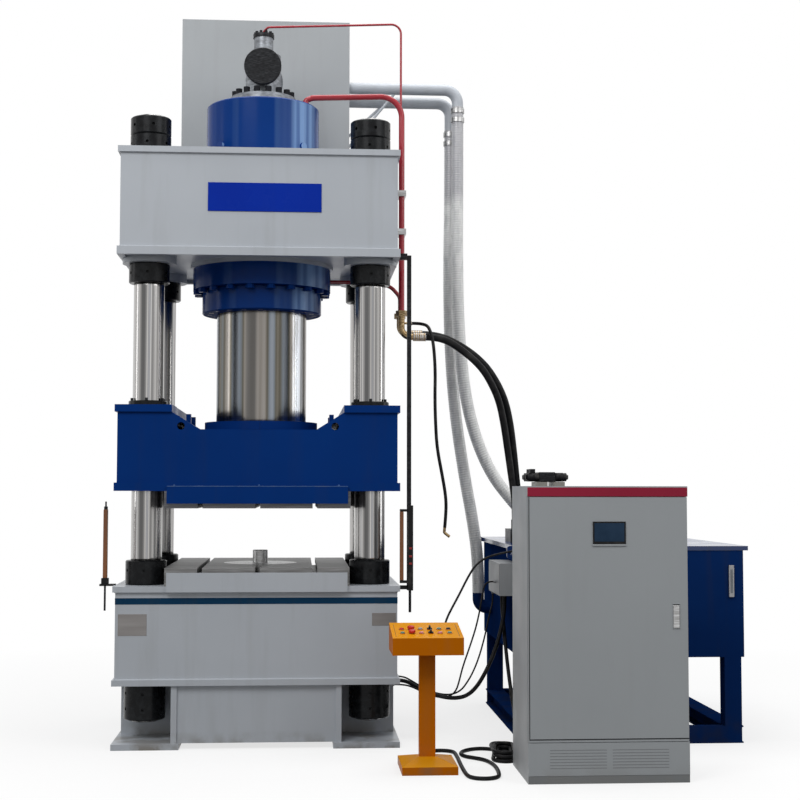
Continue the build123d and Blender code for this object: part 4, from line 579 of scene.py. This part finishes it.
# Free hoses and cables
cableLies = 0.0114  # height of the floor cable's middle
routes = {
    "whiteHoseRight": [
        (0.31, 0.9225, 4.066), (0.31, 0.9225, 3.6), (0.306, 0.9225, 3.11), (0.313, 0.9195, 2.6),
        (0.35, 0.9125, 2.15), (0.42, 0.9025, 1.84), (0.525, 0.8875, 1.59), (0.651, 0.8625, 1.42),
        (0.76, 0.8625, 1.3),
    ],
    "whiteHoseLeft": [
        (0.272, 1.0445, 3.932), (0.272, 1.0445, 3.48), (0.263, 1.0445, 3.01), (0.267, 1.0425, 2.52),
        (0.297, 1.0375, 2.04), (0.36, 1.0275, 1.6), (0.427, 1.0105, 1.23), (0.455, 1.0025, 0.985),
        (0.455, 1.0025, 0.79),
    ],
    "blackHoseFront": [
        (0.03, 0.1825, 2.424), (0.135, 0.1825, 2.424), (0.277, 0.1925, 2.333), (0.385, 0.2225, 2.241),
        (0.453, 0.2625, 2.141), (0.507, 0.3125, 2.034), (0.542, 0.3575, 1.893), (0.572, 0.3875, 1.712),
        (0.601, 0.4105, 1.53), (0.621, 0.4205, 1.4), (0.621, 0.4205, 1.29),
    ],
    "blackHoseBack": [
        (0.02, 0.3325, 2.456), (0.127, 0.3325, 2.456), (0.293, 0.3245, 2.372), (0.415, 0.3225, 2.272),
        (0.493, 0.3425, 2.164), (0.553, 0.3775, 2.047), (0.591, 0.4175, 1.903), (0.617, 0.4475, 1.722),
        (0.637, 0.4675, 1.54), (0.653, 0.4805, 1.405), (0.653, 0.4805, 1.29),
    ],
    "thinHose": [
        (-0.05, 0.2625, 2.518), (-0.02, 0.2625, 2.518), (0.007, 0.2505, 2.514), (0.027, 0.2285, 2.507),
        (0.041, 0.1965, 2.496), (0.051, 0.1605, 2.474), (0.06, 0.1265, 2.438), (0.069, 0.1005, 2.384),
        (0.076, 0.0865, 2.306), (0.081, 0.0805, 2.19), (0.078, 0.0785, 2.04), (0.082, 0.0765, 1.88),
        (0.091, 0.0745, 1.73), (0.123, 0.0725, 1.565), (0.147, 0.0705, 1.42), (0.143, 0.0705, 1.31),
        (0.137, 0.0705, 1.25),
    ],
    "pedestalCable": [
        (0.05, -0.8115, 0.7), (0.05, -0.7635, 0.7), (0.056, -0.7195, 0.722), (0.071, -0.7055, 0.768),
        (0.095, -0.7175, 0.82), (0.141, -0.7155, 0.903), (0.189, -0.6975, 0.993), (0.233, -0.6625, 1.055),
        (0.287, -0.6275, 1.094), (0.355, -0.5935, 1.114), (0.435, -0.5695, 1.13), (0.515, -0.5825, 1.142),
        (0.577, -0.6275, 1.148), (0.607, -0.6975, 1.15), (0.615, -0.7825, 1.15), (0.615, -0.8675, 1.15),
    ],
    "sensorCableA": [
        (0.408, -0.1275, 0.935), (0.374, -0.1275, 0.935), (0.351, -0.1295, 0.906), (0.341, -0.1355, 0.858),
        (0.326, -0.1475, 0.775), (0.299, -0.1625, 0.665), (0.258, -0.1755, 0.548), (0.218, -0.1815, 0.44),
        (0.199, -0.1755, 0.36), (0.183, -0.1575, 0.3), (0.155, -0.1295, 0.266), (0.111, -0.0955, 0.249),
        (0.055, -0.0535, 0.252), (-0.005, -0.0095, 0.272), (-0.065, 0.0345, 0.298),
        (-0.117, 0.0625, 0.308), (-0.169, 0.0625, 0.308),
    ],
    "sensorCableB": [
        (0.443, 0.1625, 0.844), (0.443, 0.1625, 0.795), (0.423, 0.1375, 0.735), (0.399, 0.0905, 0.66),
        (0.371, 0.0405, 0.57), (0.331, -0.0275, 0.47), (0.287, -0.0875, 0.39), (0.251, -0.1095, 0.338),
        (0.221, -0.1095, 0.298), (0.179, -0.0895, 0.270), (0.127, -0.0595, 0.261), (0.065, -0.0155, 0.268),
        (0.005, 0.0345, 0.289), (-0.059, 0.0905, 0.324), (-0.113, 0.1275, 0.35), (-0.169, 0.1275, 0.35),
    ],
    "baseCable": [
        (-0.161, 0.0925, 0.33), (-0.109, 0.0925, 0.33), (-0.051, 0.0625, 0.304), (0.015, 0.0025, 0.272),
        (0.095, -0.0575, 0.251), (0.175, -0.1075, 0.246), (0.243, -0.1375, 0.262), (0.299, -0.1495, 0.31),
        (0.351, -0.1415, 0.388), (0.397, -0.1245, 0.478), (0.439, -0.1015, 0.58), (0.47, -0.0755, 0.69),
        (0.485, -0.0575, 0.772), (0.485, -0.0575, 0.844),
    ],
    "floorCable": [
        (-0.043, -0.7915, 0.024), (-0.043, -0.7315, 0.024), (-0.041, -0.6575, 0.017)
    ] + [(x, y, cableLies) for x, y in (
        (-0.035, -0.5925), (-0.022, -0.5485), (0.006, -0.5115), (0.051, -0.4975), (0.096, -0.5115),
        (0.124, -0.5485), (0.128, -0.5895), (0.129, -0.6675), (0.127, -0.7775), (0.123, -0.9275),
        (0.121, -1.0975), (0.123, -1.2075), (0.132, -1.2695), (0.161, -1.3085), (0.207, -1.3225),
        (0.253, -1.3085), (0.282, -1.2695), (0.291, -1.2215), (0.299, -1.1375), (0.303, -1.0275),
        (0.297, -0.9175), (0.273, -0.8075), (0.223, -0.7435), (0.175, -0.6975), (0.155, -0.6275),
        (0.171, -0.5475), (0.211, -0.4895), (0.263, -0.4545), (0.315, -0.4542), (0.35, -0.4805),
    )],
    "hankLead": [
        (0.489, -0.4593, 0.0114),
        (0.509, -0.4355, 0.022), (0.517, -0.4035, 0.052), (0.515, -0.3655, 0.104), (0.507, -0.3175, 0.18),
        (0.497, -0.2635, 0.276), (0.489, -0.1935, 0.392), (0.485, -0.1135, 0.52), (0.483, -0.0335, 0.65),
        (0.484, 0.0345, 0.74), (0.485, 0.0625, 0.796), (0.485, 0.0625, 0.844),
    ],
}

ribs = {"depth": 0.0011, "pitch": 0.016}
cords = {
    "whiteHoseRight": {"node": "white_hose_right", "width": 0.082, "ribs": ribs, "stiffness": "medium"},
    "whiteHoseLeft": {"node": "white_hose_left", "width": 0.082, "ribs": ribs, "stiffness": "medium"},
    "blackHoseFront": {"node": "black_hose_front", "width": 0.044, "stiffness": "stiff"},
    "blackHoseBack": {"node": "black_hose_back", "width": 0.044, "stiffness": "stiff"},
    "thinHose": {"node": "thin_hose", "width": 0.020, "stiffness": "medium"},
    "pedestalCable": {"node": "pedestal_cable", "width": 0.012, "stiffness": "limp"},
    "sensorCableA": {"node": "sensor_cable_a", "width": 0.010, "stiffness": "limp"},
    "sensorCableB": {"node": "sensor_cable_b", "width": 0.010, "stiffness": "limp"},
    "baseCable": {"node": "base_cable", "width": 0.024, "stiffness": "medium"},
    "floorCable": {"node": "floor_cable", "width": 0.022, "stiffness": "limp"},
}


# Milky hose: creases of the clear film round it under a thin gloss,
# and the steel pipe's end, which shows through its top
def milkyHose():
    material, tree, shader, where = newMaterial("milkyHose")
    creases = noise(tree, stretched(tree, where, (30, 30, 9)), 1.0, 6)
    stops = [(0.3, (0.60, 0.61, 0.61)), (0.5, (0.70, 0.71, 0.70)), (0.72, (0.80, 0.80, 0.79))]
    tint = ramp(tree, creases, stops)
    pipeEnd = span(tree, axisOf(tree, where, "Z"), 3.40, 3.48, 0, 0.75)
    tint = mixColor(tree, pipeEnd, tint, (0.36, 0.36, 0.39))
    tree.links.new(tint, shader.inputs["Base Color"])
    setRoughness(tree, shader, creases, (0.18, 0.4))
    setInputs(shader, {"Coat Weight": 0.5, "Coat Roughness": 0.15})
    bump(tree, shader, creases, 0.6, 0.002)
    return material


finishes["milkyHose"] = milkyHose()


# The two clear hoses are ribbed: radius = width / 2 + depth * (cos(2 pi * length / pitch) - 1)
def makeCords():
    for name, look in cords.items():
        ribbed = "ribs" in look
        line, length = routeLine(name, routes[name], 0.004 if ribbed else 0.008)
        radius = np.full(len(line), look["width"] / 2)
        if ribbed:
            travelled = np.linspace(0, length, len(line))
            radius += ribs["depth"] * (np.cos(2 * np.pi * travelled / ribs["pitch"]) - 1)
        points, faces, uv = tubeShape(line, radius, 28 if ribbed else 20)
        hose = meshPiece(name, points, faces, "milkyHose" if ribbed else "blackRubber", uv=uv)
        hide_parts(look["node"])


makeCords()
print("cords done")


# Faces of a grid that closes on itself both ways
def ringFaces(rows, columns):
    r, c = np.meshgrid(np.arange(rows), np.arange(columns), indexing="ij")
    down, after = (r + 1) % rows, (c + 1) % columns
    quads = np.stack([r * columns + c, r * columns + after, down * columns + after, down * columns + c], -1)
    return quads.reshape(-1, 4).tolist()


# A block with rounded edges: rounded-rectangle rings along one axis,
# each drawn in by edge * (1 - sin t) at the ends
def softBlock(low, high, edge, axis=2):
    low, high = np.array(low, dtype=float), np.array(high, dtype=float)
    u, v, w = ((1, 2, 0), (2, 0, 1), (0, 1, 2))[axis]
    half, middle = (high - low) / 2, (high + low) / 2
    corner = np.radians([0, 30, 60, 90])
    angle = np.concatenate([corner + k * np.pi / 2 for k in range(4)])
    signU = np.repeat([1, -1, -1, 1], 4)
    signV = np.repeat([1, 1, -1, -1], 4)
    lift = edge * np.array([0, 0.134, 0.5, 1.0])
    drawn = edge * np.array([0.97, 0.5, 0.134, 0])
    rise = np.concatenate([low[w] + lift, high[w] - lift[::-1]])
    inset = np.concatenate([drawn, drawn[::-1]])
    points = np.empty((8, 16, 3))
    reach = (edge - inset)[:, None]
    points[:, :, u] = middle[u] + signU * (half[u] - edge) + reach * np.cos(angle)
    points[:, :, v] = middle[v] + signV * (half[v] - edge) + reach * np.sin(angle)
    points[:, :, w] = rise[:, None]
    return points.reshape(-1, 3), loopFaces(8, 16)


def fromPress(x, y, z):
    return (pressX + x, pressY + y, z)


def block(name, low, high, edge, finish, body="press", axis=2):
    points, faces = softBlock(fromPress(*low), fromPress(*high), edge, axis)
    return meshPiece(name, points, faces, finish, body, smooth=False)


# A surface of revolution: radius and height pairs turned about a line through a point
def turned(profile, centre, axis, around=24):
    profile = np.array(profile, dtype=float)
    axis = np.array(axis, dtype=float) / np.linalg.norm(axis)
    guess = np.array([1.0, 0, 0]) if abs(axis[0]) < 0.9 else np.array([0, 1.0, 0])
    side = np.cross(axis, guess)
    side /= np.linalg.norm(side)
    up = np.cross(axis, side)
    angle = np.linspace(0, 2 * np.pi, around, endpoint=False)
    ring = np.cos(angle)[:, None] * side + np.sin(angle)[:, None] * up
    points = np.array(centre) + profile[:, 0, None, None] * ring[None] + profile[:, 1, None, None] * axis
    return points.reshape(-1, 3), loopFaces(len(profile), around)


# Several shapes in one mesh: each one's faces are numbered on from the points before it
def joined(shapes):
    points, faces, count = [], [], 0
    for some, theirs in shapes:
        points.append(some)
        faces += [[k + count for k in face] for face in theirs]
        count += len(some)
    return np.concatenate(points), faces


# Plates and stripe on the press
plates = {
    "badgePlate": {"low": (-0.302, -0.6295, 3.100), "high": (0.360, -0.6245, 3.269), "finish": "badgeBlue"},
    "leftNamePlate": {"low": (-0.791, -0.6265, 0.645), "high": (-0.628, -0.6245, 0.768),
                      "finish": "nameSteel"},
    "rightNamePlate": {"low": (0.661, -0.6265, 0.696), "high": (0.800, -0.6245, 0.769),
                       "finish": "nameSteel"},
}
badgeBlue = dict(
    name="badgeBlue", color=(0.004, 0.030, 0.36), shade=(0.004, 0.026, 0.33), dirt=(0.02, 0.04, 0.2),
    rough=(0.22, 0.3), runs=0.1, shine=0.04,
)
stripeBlue = dict(
    name="stripeBlue", color=(0.005, 0.040, 0.095), shade=(0.004, 0.034, 0.08), dirt=(0.03, 0.04, 0.05),
    rough=(0.3, 0.4), runs=0.3, shine=0.05,
)
headerRed = dict(
    name="headerRed", color=(0.33, 0.020, 0.050), shade=(0.29, 0.017, 0.043), dirt=(0.2, 0.03, 0.04),
    rough=(0.25, 0.35), runs=0.1, shine=0.1,
)
plateSilver = dict(
    name="plateSilver", color=(0.30, 0.30, 0.305), bright=(0.36, 0.36, 0.365), dark=(0.24, 0.24, 0.245),
    stretch=(4, 300, 300), rough=(0.3, 0.4), metal=0.7,
)
nameSteel = dict(
    plateSilver, name="nameSteel", color=(0.21, 0.20, 0.195), bright=(0.24, 0.23, 0.225),
    dark=(0.18, 0.17, 0.165), stretch=(3, 40, 40), rough=(0.4, 0.5),
)
addFinishes(enamel, badgeBlue, stripeBlue, headerRed)
addFinishes(streakedMetal, plateSilver, nameSteel)
for name, look in plates.items():
    block(name, look["low"], look["high"], 0.001, look["finish"], axis=1)

wallHalf = (0.808, 0.625)  # half the width and depth of the walls of base and crown
wallCorners = np.array([(-1, -1), (1, -1), (1, 1), (-1, 1)]) * wallHalf
stripe = {"low": 0.823, "high": 0.859, "thick": 0.0012}


# The painted stripe: a flat band profile carried round the base wall's rectangle
def paintedStripe():
    low, high, thick = stripe["low"], stripe["high"], stripe["thick"]
    outward = np.sign(wallCorners)
    profile = [(-0.002, low), (thick, low), (thick, high), (-0.002, high)]
    rows = [np.c_[wallCorners + outward * off, np.full(4, z)] for off, z in profile]
    points = np.stack(rows, 1).reshape(-1, 3) + (pressX, pressY, 0)
    meshPiece("baseStripe", points, ringFaces(4, 4), "stripeBlue", smooth=False)


paintedStripe()

beads = {"crownLow": 2.888, "crownHigh": 3.441, "baseLow": 0.395, "baseHigh": 0.892}


# A weld bead: a small tube round the wall at each height, its radius rippling with the length
def weldBeads():
    share = np.linspace(0, 1, 160, endpoint=False)[:, None]
    angle = np.linspace(0, 2 * np.pi, 8, endpoint=False)
    across, up = np.cos(angle)[None, :, None], np.sin(angle)[None, :, None] * np.array([0, 0, 1.0])
    for name, z in beads.items():
        turns = np.c_[wallCorners, np.full(4, z)]
        path = np.concatenate([turns[k] + share * (turns[(k + 1) % 4] - turns[k]) for k in range(4)])
        outward = np.zeros_like(path)
        onX = np.abs(np.abs(path[:, 0]) - wallHalf[0]) < 1e-6
        outward[onX, 0] = np.sign(path[onX, 0])
        outward[~onX, 1] = np.sign(path[~onX, 1])
        ripple = 0.0055 * (1 + 0.10 * np.sin(np.arange(len(path)) * 2.1))
        points = path[:, None] + ripple[:, None, None] * (across * outward[:, None] + up)
        points = points.reshape(-1, 3) + (pressX, pressY, 0)
        meshPiece(name + "Bead", points, ringFaces(len(path), 8), "pressPaint")


weldBeads()
print("press plates done")

# Light curtains
ledRed = dict(name="ledRed", color=(0.28, 0.02, 0.02), rough=(0.15, 0.25), dust=0.05)
addFinishes(moulded, ledRed)
guardBlocks = {
    "leftCurtainBar": ((-0.897, -0.497, 0.966), (-0.873, -0.463, 1.363), 0.003, "bronzePaint"),
    "leftCurtainFoot": ((-0.915, -0.503, 0.920), (-0.823, -0.457, 0.932), 0.002, "blackPlastic"),
    "leftCurtainCap": ((-0.905, -0.503, 0.932), (-0.865, -0.457, 0.966), 0.003, "blackPlastic"),
    "leftCurtainPlate": ((-0.835, -0.533, 0.892), (-0.823, -0.427, 0.925), 0.002, "pressPaint"),
    "guardRail": ((0.8715, -0.5125, 0.891), (0.8965, -0.4875, 2.871), 0.002, "darkSteel"),
    "guardRailTop": ((0.823, -0.516, 2.845), (0.8725, -0.484, 2.882), 0.002, "darkSteel"),
    "guardRailFoot": ((0.823, -0.516, 0.896), (0.8725, -0.484, 0.919), 0.002, "darkSteel"),
    "curtainReceiver": ((0.875, -0.5455, 0.891), (0.906, -0.5125, 1.388), 0.003, "blackPlastic"),
    "rightCurtainBar": ((0.828, -0.5425, 0.950), (0.850, -0.5145, 1.351), 0.003, "bronzePaint"),
    "curtainTieHigh": ((0.828, -0.5405, 1.351), (0.876, -0.5165, 1.366), 0.002, "blackPlastic"),
    "curtainTieLow": ((0.828, -0.5405, 0.934), (0.876, -0.5165, 0.950), 0.002, "blackPlastic"),
}
for level, z in (("High", 1.131), ("Mid", 1.084), ("Low", 1.042)):
    guardBlocks["curtainLamp" + level] = ((0.882, -0.5475, z), (0.899, -0.5450, z + 0.012), 0.001, "ledRed")

# Radius, lower and upper end, and place from the press's axis
guardRods = {
    "leftCurtainRod": (0.006, 0.777, 0.920, -0.885, -0.480),
    "leftCurtainTip": (0.005, 1.363, 1.409, -0.885, -0.480),
    "leftCurtainNut": (0.011, 1.363, 1.380, -0.885, -0.480),
    "rightCurtainRod": (0.008, 0.764, 0.891, 0.888, -0.5285),
}


def lightCurtains():
    pieces = [block(name, *shape) for name, shape in guardBlocks.items()]
    for name, (r, low, high, x, y) in guardRods.items():
        profile = [(r - 0.001, low), (r, low + 0.001), (r, high - 0.001), (r - 0.001, high)]
        points, faces = turned(profile, fromPress(x, y, 0), (0, 0, 1), 20)
        meshPiece(name, points, faces, "darkSteel")
    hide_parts("side_guards")


lightCurtains()
print("light curtains done")

# Cabinet front
screenGlass = dict(
    name="screenGlass", color=(0.010, 0.028, 0.060), shade=(0.022, 0.050, 0.095), dirt=(0.02, 0.04, 0.08),
    rough=(0.06, 0.12), blotch=9, runs=0.2, peelDepth=0, shine=0.06,
)
louvreGrey = dict(cabinetPaint, name="louvreGrey", color=(0.25, 0.26, 0.27), shade=(0.23, 0.24, 0.25))
# A darker grey for the plinth strip, which is painted shade at the cabinet's foot
plinthShadeGrey = dict(cabinetPaint, name="plinthShadeGrey", color=(0.20, 0.21, 0.215), shade=(0.17, 0.18, 0.185))
addFinishes(enamel, screenGlass, louvreGrey, plinthShadeGrey)
cabinetBlocks = {
    "redHeader": ((1.3968, -1.7312, 1.4475), (2.2242, -1.7280, 1.4935), 0.0008, "headerRed"),
    "screenBezel": ((1.7320, -1.7355, 1.2040), (1.9020, -1.7330, 1.3200), 0.0010, "blackPlastic", "door"),
    "screenFace": ((1.7400, -1.7362, 1.2180), (1.8940, -1.7345, 1.3120), 0.0005, "screenGlass", "door"),
    "screenLip": ((1.7300, -1.7362, 1.1960), (1.9040, -1.7290, 1.2045), 0.0010, "cabinetPaint", "door"),
    "doorSeamSide": ((1.4022, -1.7310, 0.2245), (1.4062, -1.7290, 1.4470), 0.0004, "blackPlastic", "door"),
    "doorSeamFoot": ((1.4025, -1.7310, 0.2190), (2.2200, -1.7290, 0.2245), 0.0004, "darkSteel", "door"),
    "louvreScreen": ((1.5000, -1.7292, 0.0700), (2.1200, -1.7284, 0.1820), 0.0003, "louvreGrey"),
    # Painted shade: a darker strip over the plinth's front
    "plinthShade": ((1.3985, -1.7285, 0.0020), (2.2225, -1.7265, 0.0400), 0.0004, "plinthShadeGrey"),
}
for name, shape in cabinetBlocks.items():
    block(name, *shape, axis=1)

# Oil tank gauge
gaugeGlass = dict(
    name="gaugeGlass", color=(0.16, 0.18, 0.20), shade=(0.10, 0.11, 0.12), dirt=(0.2, 0.18, 0.1),
    rough=(0.1, 0.2), blotch=12, runs=0.2, coat=0.5,
)
addFinishes(enamel, gaugeGlass)
block("gaugeBody", (2.766, -0.6152, 0.851), (2.797, -0.6000, 1.038), 0.003, "plateSilver")
block("gaugeTube", (2.774, -0.6170, 0.875), (2.789, -0.6140, 1.014), 0.001, "gaugeGlass")

# Desk top
desk = {"x": 0.729, "y": -1.450, "z": 0.706, "deep": 0.320, "rise": 0.052, "first": 0.787, "step": 0.050,
        "rows": (0.176, 0.096), "ring": 0.0145}
slope = math.atan2(desk["rise"], desk["deep"])
deskUp = np.array([0.0, -math.sin(slope), math.cos(slope)])
deskIn = np.array([0.0, math.cos(slope), math.sin(slope)])


def onDesk(x, depth, rise=0.0):
    return np.array(fromPress(x, desk["y"], desk["z"])) + depth * deskIn + rise * deskUp


def deskRings():
    outer = desk["ring"]
    profile = [(0.0115, 0.0002), (0.0115, 0.0029), (outer - 0.0025, 0.0029), (outer - 0.0008, 0.0033),
               (outer, 0.0024), (outer, 0.0002)]
    middles = [onDesk(desk["first"] + desk["step"] * i, row) for row in desk["rows"] for i in range(6)]
    faces = ringFaces(len(profile), 24)
    points, faces = joined([(turned(profile, middle, deskUp)[0], faces) for middle in middles])
    meshPiece("controlRings", points, faces, "plateSilver")


deskRings()


# The two slits near the desk's ends: thin dark strips lying in the slope
def deskSlits():
    for name, x in (("slitLeft", 0.748), ("slitRight", 1.083)):
        corners = [onDesk(x + dx, d, r) for r in (-0.0006, 0.0003) for dx, d in
                   ((0, 0.03), (0.0022, 0.03), (0.0022, 0.285), (0, 0.285))]
        meshPiece(name, corners, loopFaces(2, 4), "blackPlastic", smooth=False)


deskSlits()
print("cabinet, gauge and desk done")


# Chrome columns and ram, turned smooth
columnShape = {"x": 0.656, "y": 0.412, "thread": 0.084, "body": 0.090, "low": 0.135, "bodyLow": 1.066,
               "bodyHigh": 2.697, "high": 3.700}
ramShape = {"radius": 0.2775, "low": 1.827, "high": 3.077, "pistonLow": 2.952, "piston": 0.2999}


def chromeColumns():
    look = columnShape
    x, y, thread, body = look["x"], look["y"], look["thread"], look["body"]
    low, bodyLow, bodyHigh, high = look["low"], look["bodyLow"], look["bodyHigh"], look["high"]
    profile = [(thread - 0.005, low), (thread, low + 0.005), (thread, bodyLow - 0.001),
               (body - 0.001, bodyLow), (body, bodyLow + 0.001), (body, bodyLow + 0.02),
               (body, bodyHigh - 0.02), (body, bodyHigh - 0.001), (body - 0.001, bodyHigh),
               (thread, bodyHigh + 0.001), (thread, high - 0.005), (thread - 0.005, high)]
    places = [fromPress(*place, 0) for place in ((-x, -y), (-x, y), (x, -y), (x, y))]
    points, faces = joined([turned(profile, place, (0, 0, 1), 96) for place in places])
    piece = meshPiece("chromeColumns", points, faces, "chromed")
    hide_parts("columns")


def chromeRam():
    look = ramShape
    radius, piston = look["radius"], look["piston"]
    low, pistonLow, high = look["low"], look["pistonLow"], look["high"]
    profile = [(radius - 0.003, low), (radius, low + 0.003), (radius, low + 0.1),
               (radius, pistonLow - 0.01), (radius, pistonLow), (piston, pistonLow + 0.001),
               (piston, high - 0.001), (piston - 0.002, high)]
    points, faces = turned(profile, fromPress(0, 0, 0), (0, 0, 1), 160)
    piece = meshPiece("chromeRam", points, faces, "ramChrome", "press_slide")
    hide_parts("ram")


chromeColumns()
chromeRam()
print("chrome done")


# Spare cable beside the cabinet
spare = {
    "middle": (0.393, -0.6825), "turn": 84, "run": 0.106, "width": 0.022,
    # radius and height of each turn; the last one is only where the cable leaves
    "layers": [(0.0740, 0.0114), (0.0495, 0.0114), (0.0250, 0.0114), (0.0390, 0.0330), (0.0635, 0.0330),
               (0.0510, 0.0540), (0.0730, 0.0535)],
    "in": [(0.350, -0.4805, 0.0114), (0.376, -0.4930, 0.0114)],
    "out": [(0.3315, -0.5695, 0.0535), (0.3582, -0.5204, 0.0530), (0.4117, -0.5035, 0.0500),
            (0.4560, -0.4890, 0.0330)],
}


# The heap's turns: long loops with round ends, side by side and on each other, each a little off the last
def spareRoute():
    ends = np.radians(np.linspace(-90, 90, 5))
    stations = [(spare["run"], a) for a in ends] + [(0.042, np.pi / 2), (-0.042, np.pi / 2)]
    stations += [(-spare["run"], a + np.pi) for a in ends] + [(-0.042, -np.pi / 2), (0.042, -np.pi / 2)]
    turn = math.radians(spare["turn"])
    route = list(spare["in"])
    for i, ((radius, height), after) in enumerate(zip(spare["layers"], spare["layers"][1:])):
        for k, (reach, a) in enumerate(stations):
            if i == 0 and k < 2:  # the cable joins its first turn at the far end
                continue
            part = max(0.0, (k - 9) / 5)
            r = radius + (after[0] - radius) * part
            z = height + (after[1] - height) * part
            along = reach + r * math.cos(a) + 0.002 * math.sin(2.3 * i + 1)
            across = -r * math.sin(a) + 0.0015 * math.cos(1.7 * i)
            route.append((spare["middle"][0] + along * math.cos(turn) - across * math.sin(turn),
                          spare["middle"][1] + along * math.sin(turn) + across * math.cos(turn), z))
    return route + spare["out"]


def spareCable():
    route = spareRoute() + routes["hankLead"]
    line, length = routeLine("spareCable", route, 0.008)
    points, faces, uv = tubeShape(line, np.full(len(line), spare["width"] / 2), 18)
    cable = meshPiece("spareCable", points, faces, "blackRubber", uv=uv)
    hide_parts("cable_hank")


spareCable()
print("spare cable done")

# Crimp sleeves over the brass elbows' ends
sleeves = {
    "frontSleeve": {"start": (0.937, -0.120, 2.424), "length": 0.079, "radius": 0.0265},
    "backSleeve": {"start": (0.927, 0.030, 2.456), "length": 0.079, "radius": 0.0265},
    "thinSleeve": {"start": (0.905, -0.040, 2.518), "length": 0.031, "radius": 0.0135},
}


# Seven crimps along each sleeve, a twentieth of the radius deep
def crimpSleeves():
    for name, look in sleeves.items():
        length, outer = look["length"], look["radius"]
        place = np.linspace(0, length, 40)
        radius = outer * (1 - 0.05 * (np.sin(place / length * 7 * 2 * np.pi) > 0.2))
        profile = [(outer * 0.7, -0.0002), *zip(radius, place), (outer * 0.7, length + 0.0002)]
        points, faces = turned(profile, fromPress(*look["start"]), (1, 0, 0))
        meshPiece(name, points, faces, "bareSteel")


crimpSleeves()
print("sleeves done")


# Front bar's top edge on the slide, painted a paler blue as a painted highlight where it catches the light,
# and three weld dabs on it in the same paler blue
barEdge = {"top": 1.499, "x": 0.5195, "front": -0.6585, "dabs": (-0.478, 0.007, 0.466)}
# Paler blue for a painted highlight on the edge and the dabs
edgeHighlightBlue = dict(
    name="edgeHighlightBlue", color=(0.05, 0.11, 0.26), shade=(0.02, 0.07, 0.22), blotch=14, dirt=(0.16, 0.18, 0.22),
    rough=(0.25, 0.4), shine=0.2, runs=0.4,
)
addFinishes(enamel, edgeHighlightBlue)


def frontBarEdge():
    x, y, z = barEdge["x"], barEdge["front"], barEdge["top"]
    block("barEdge", (-x, y - 0.0006, z - 0.0035), (x, y + 0.004, z + 0.0015), 0.0015, "edgeHighlightBlue",
          "press_slide", axis=0)
    for name, x in zip(("dabLeft", "dabMiddle", "dabRight"), barEdge["dabs"]):
        block(name, (x - 0.006, y + 0.001, z - 0.002), (x + 0.006, y + 0.0175, z + 0.009), 0.004, "edgeHighlightBlue",
              "press_slide")


frontBarEdge()

# Solenoid valves on the block: coil profile turned about a line along x, ridged at its outer end
valves = {
    "y": (0.143, 0.207, 0.271), "z": 1.560, "radius": 0.028,
    "coils": {"Left": (1.762, 1.676), "Right": (1.864, 1.950)},  # inner and outer end
    "valveBody": {"x": (1.762, 1.864), "half": 0.027, "z": (1.531, 1.592), "edge": 0.004,
                 "finish": "darkSteel"},
    "coilPlug": {"x": (1.704, 1.738), "half": 0.013, "z": (1.584, 1.612), "edge": 0.003,
                "finish": "blackPlastic"},
}


def solenoids():
    r = valves["radius"]
    for i, y in enumerate(valves["y"]):
        for side, (inner, outer) in valves["coils"].items():
            length = abs(outer - inner)
            profile = [(r * 0.7, 0.0), (r, 0.002), (r, length * 0.62), (r * 0.86, length * 0.66),
                       (r * 0.86, length * 0.70), (r * 0.95, length * 0.74), (r * 0.95, length * 0.86),
                       (r * 0.6, length * 0.90), (r * 0.5, length)]
            points, faces = turned(profile, fromPress(inner, y, valves["z"]), (np.sign(outer - inner), 0, 0))
            meshPiece("coil" + side + str(i), points, faces, "blackPlastic")
        for part in ("valveBody", "coilPlug"):
            look = valves[part]
            (left, right), (low, high), half = look["x"], look["z"], look["half"]
            block(part + str(i), (left, y - half, low), (right, y + half, high), look["edge"], look["finish"])


solenoids()
print("slide trim and valves done")
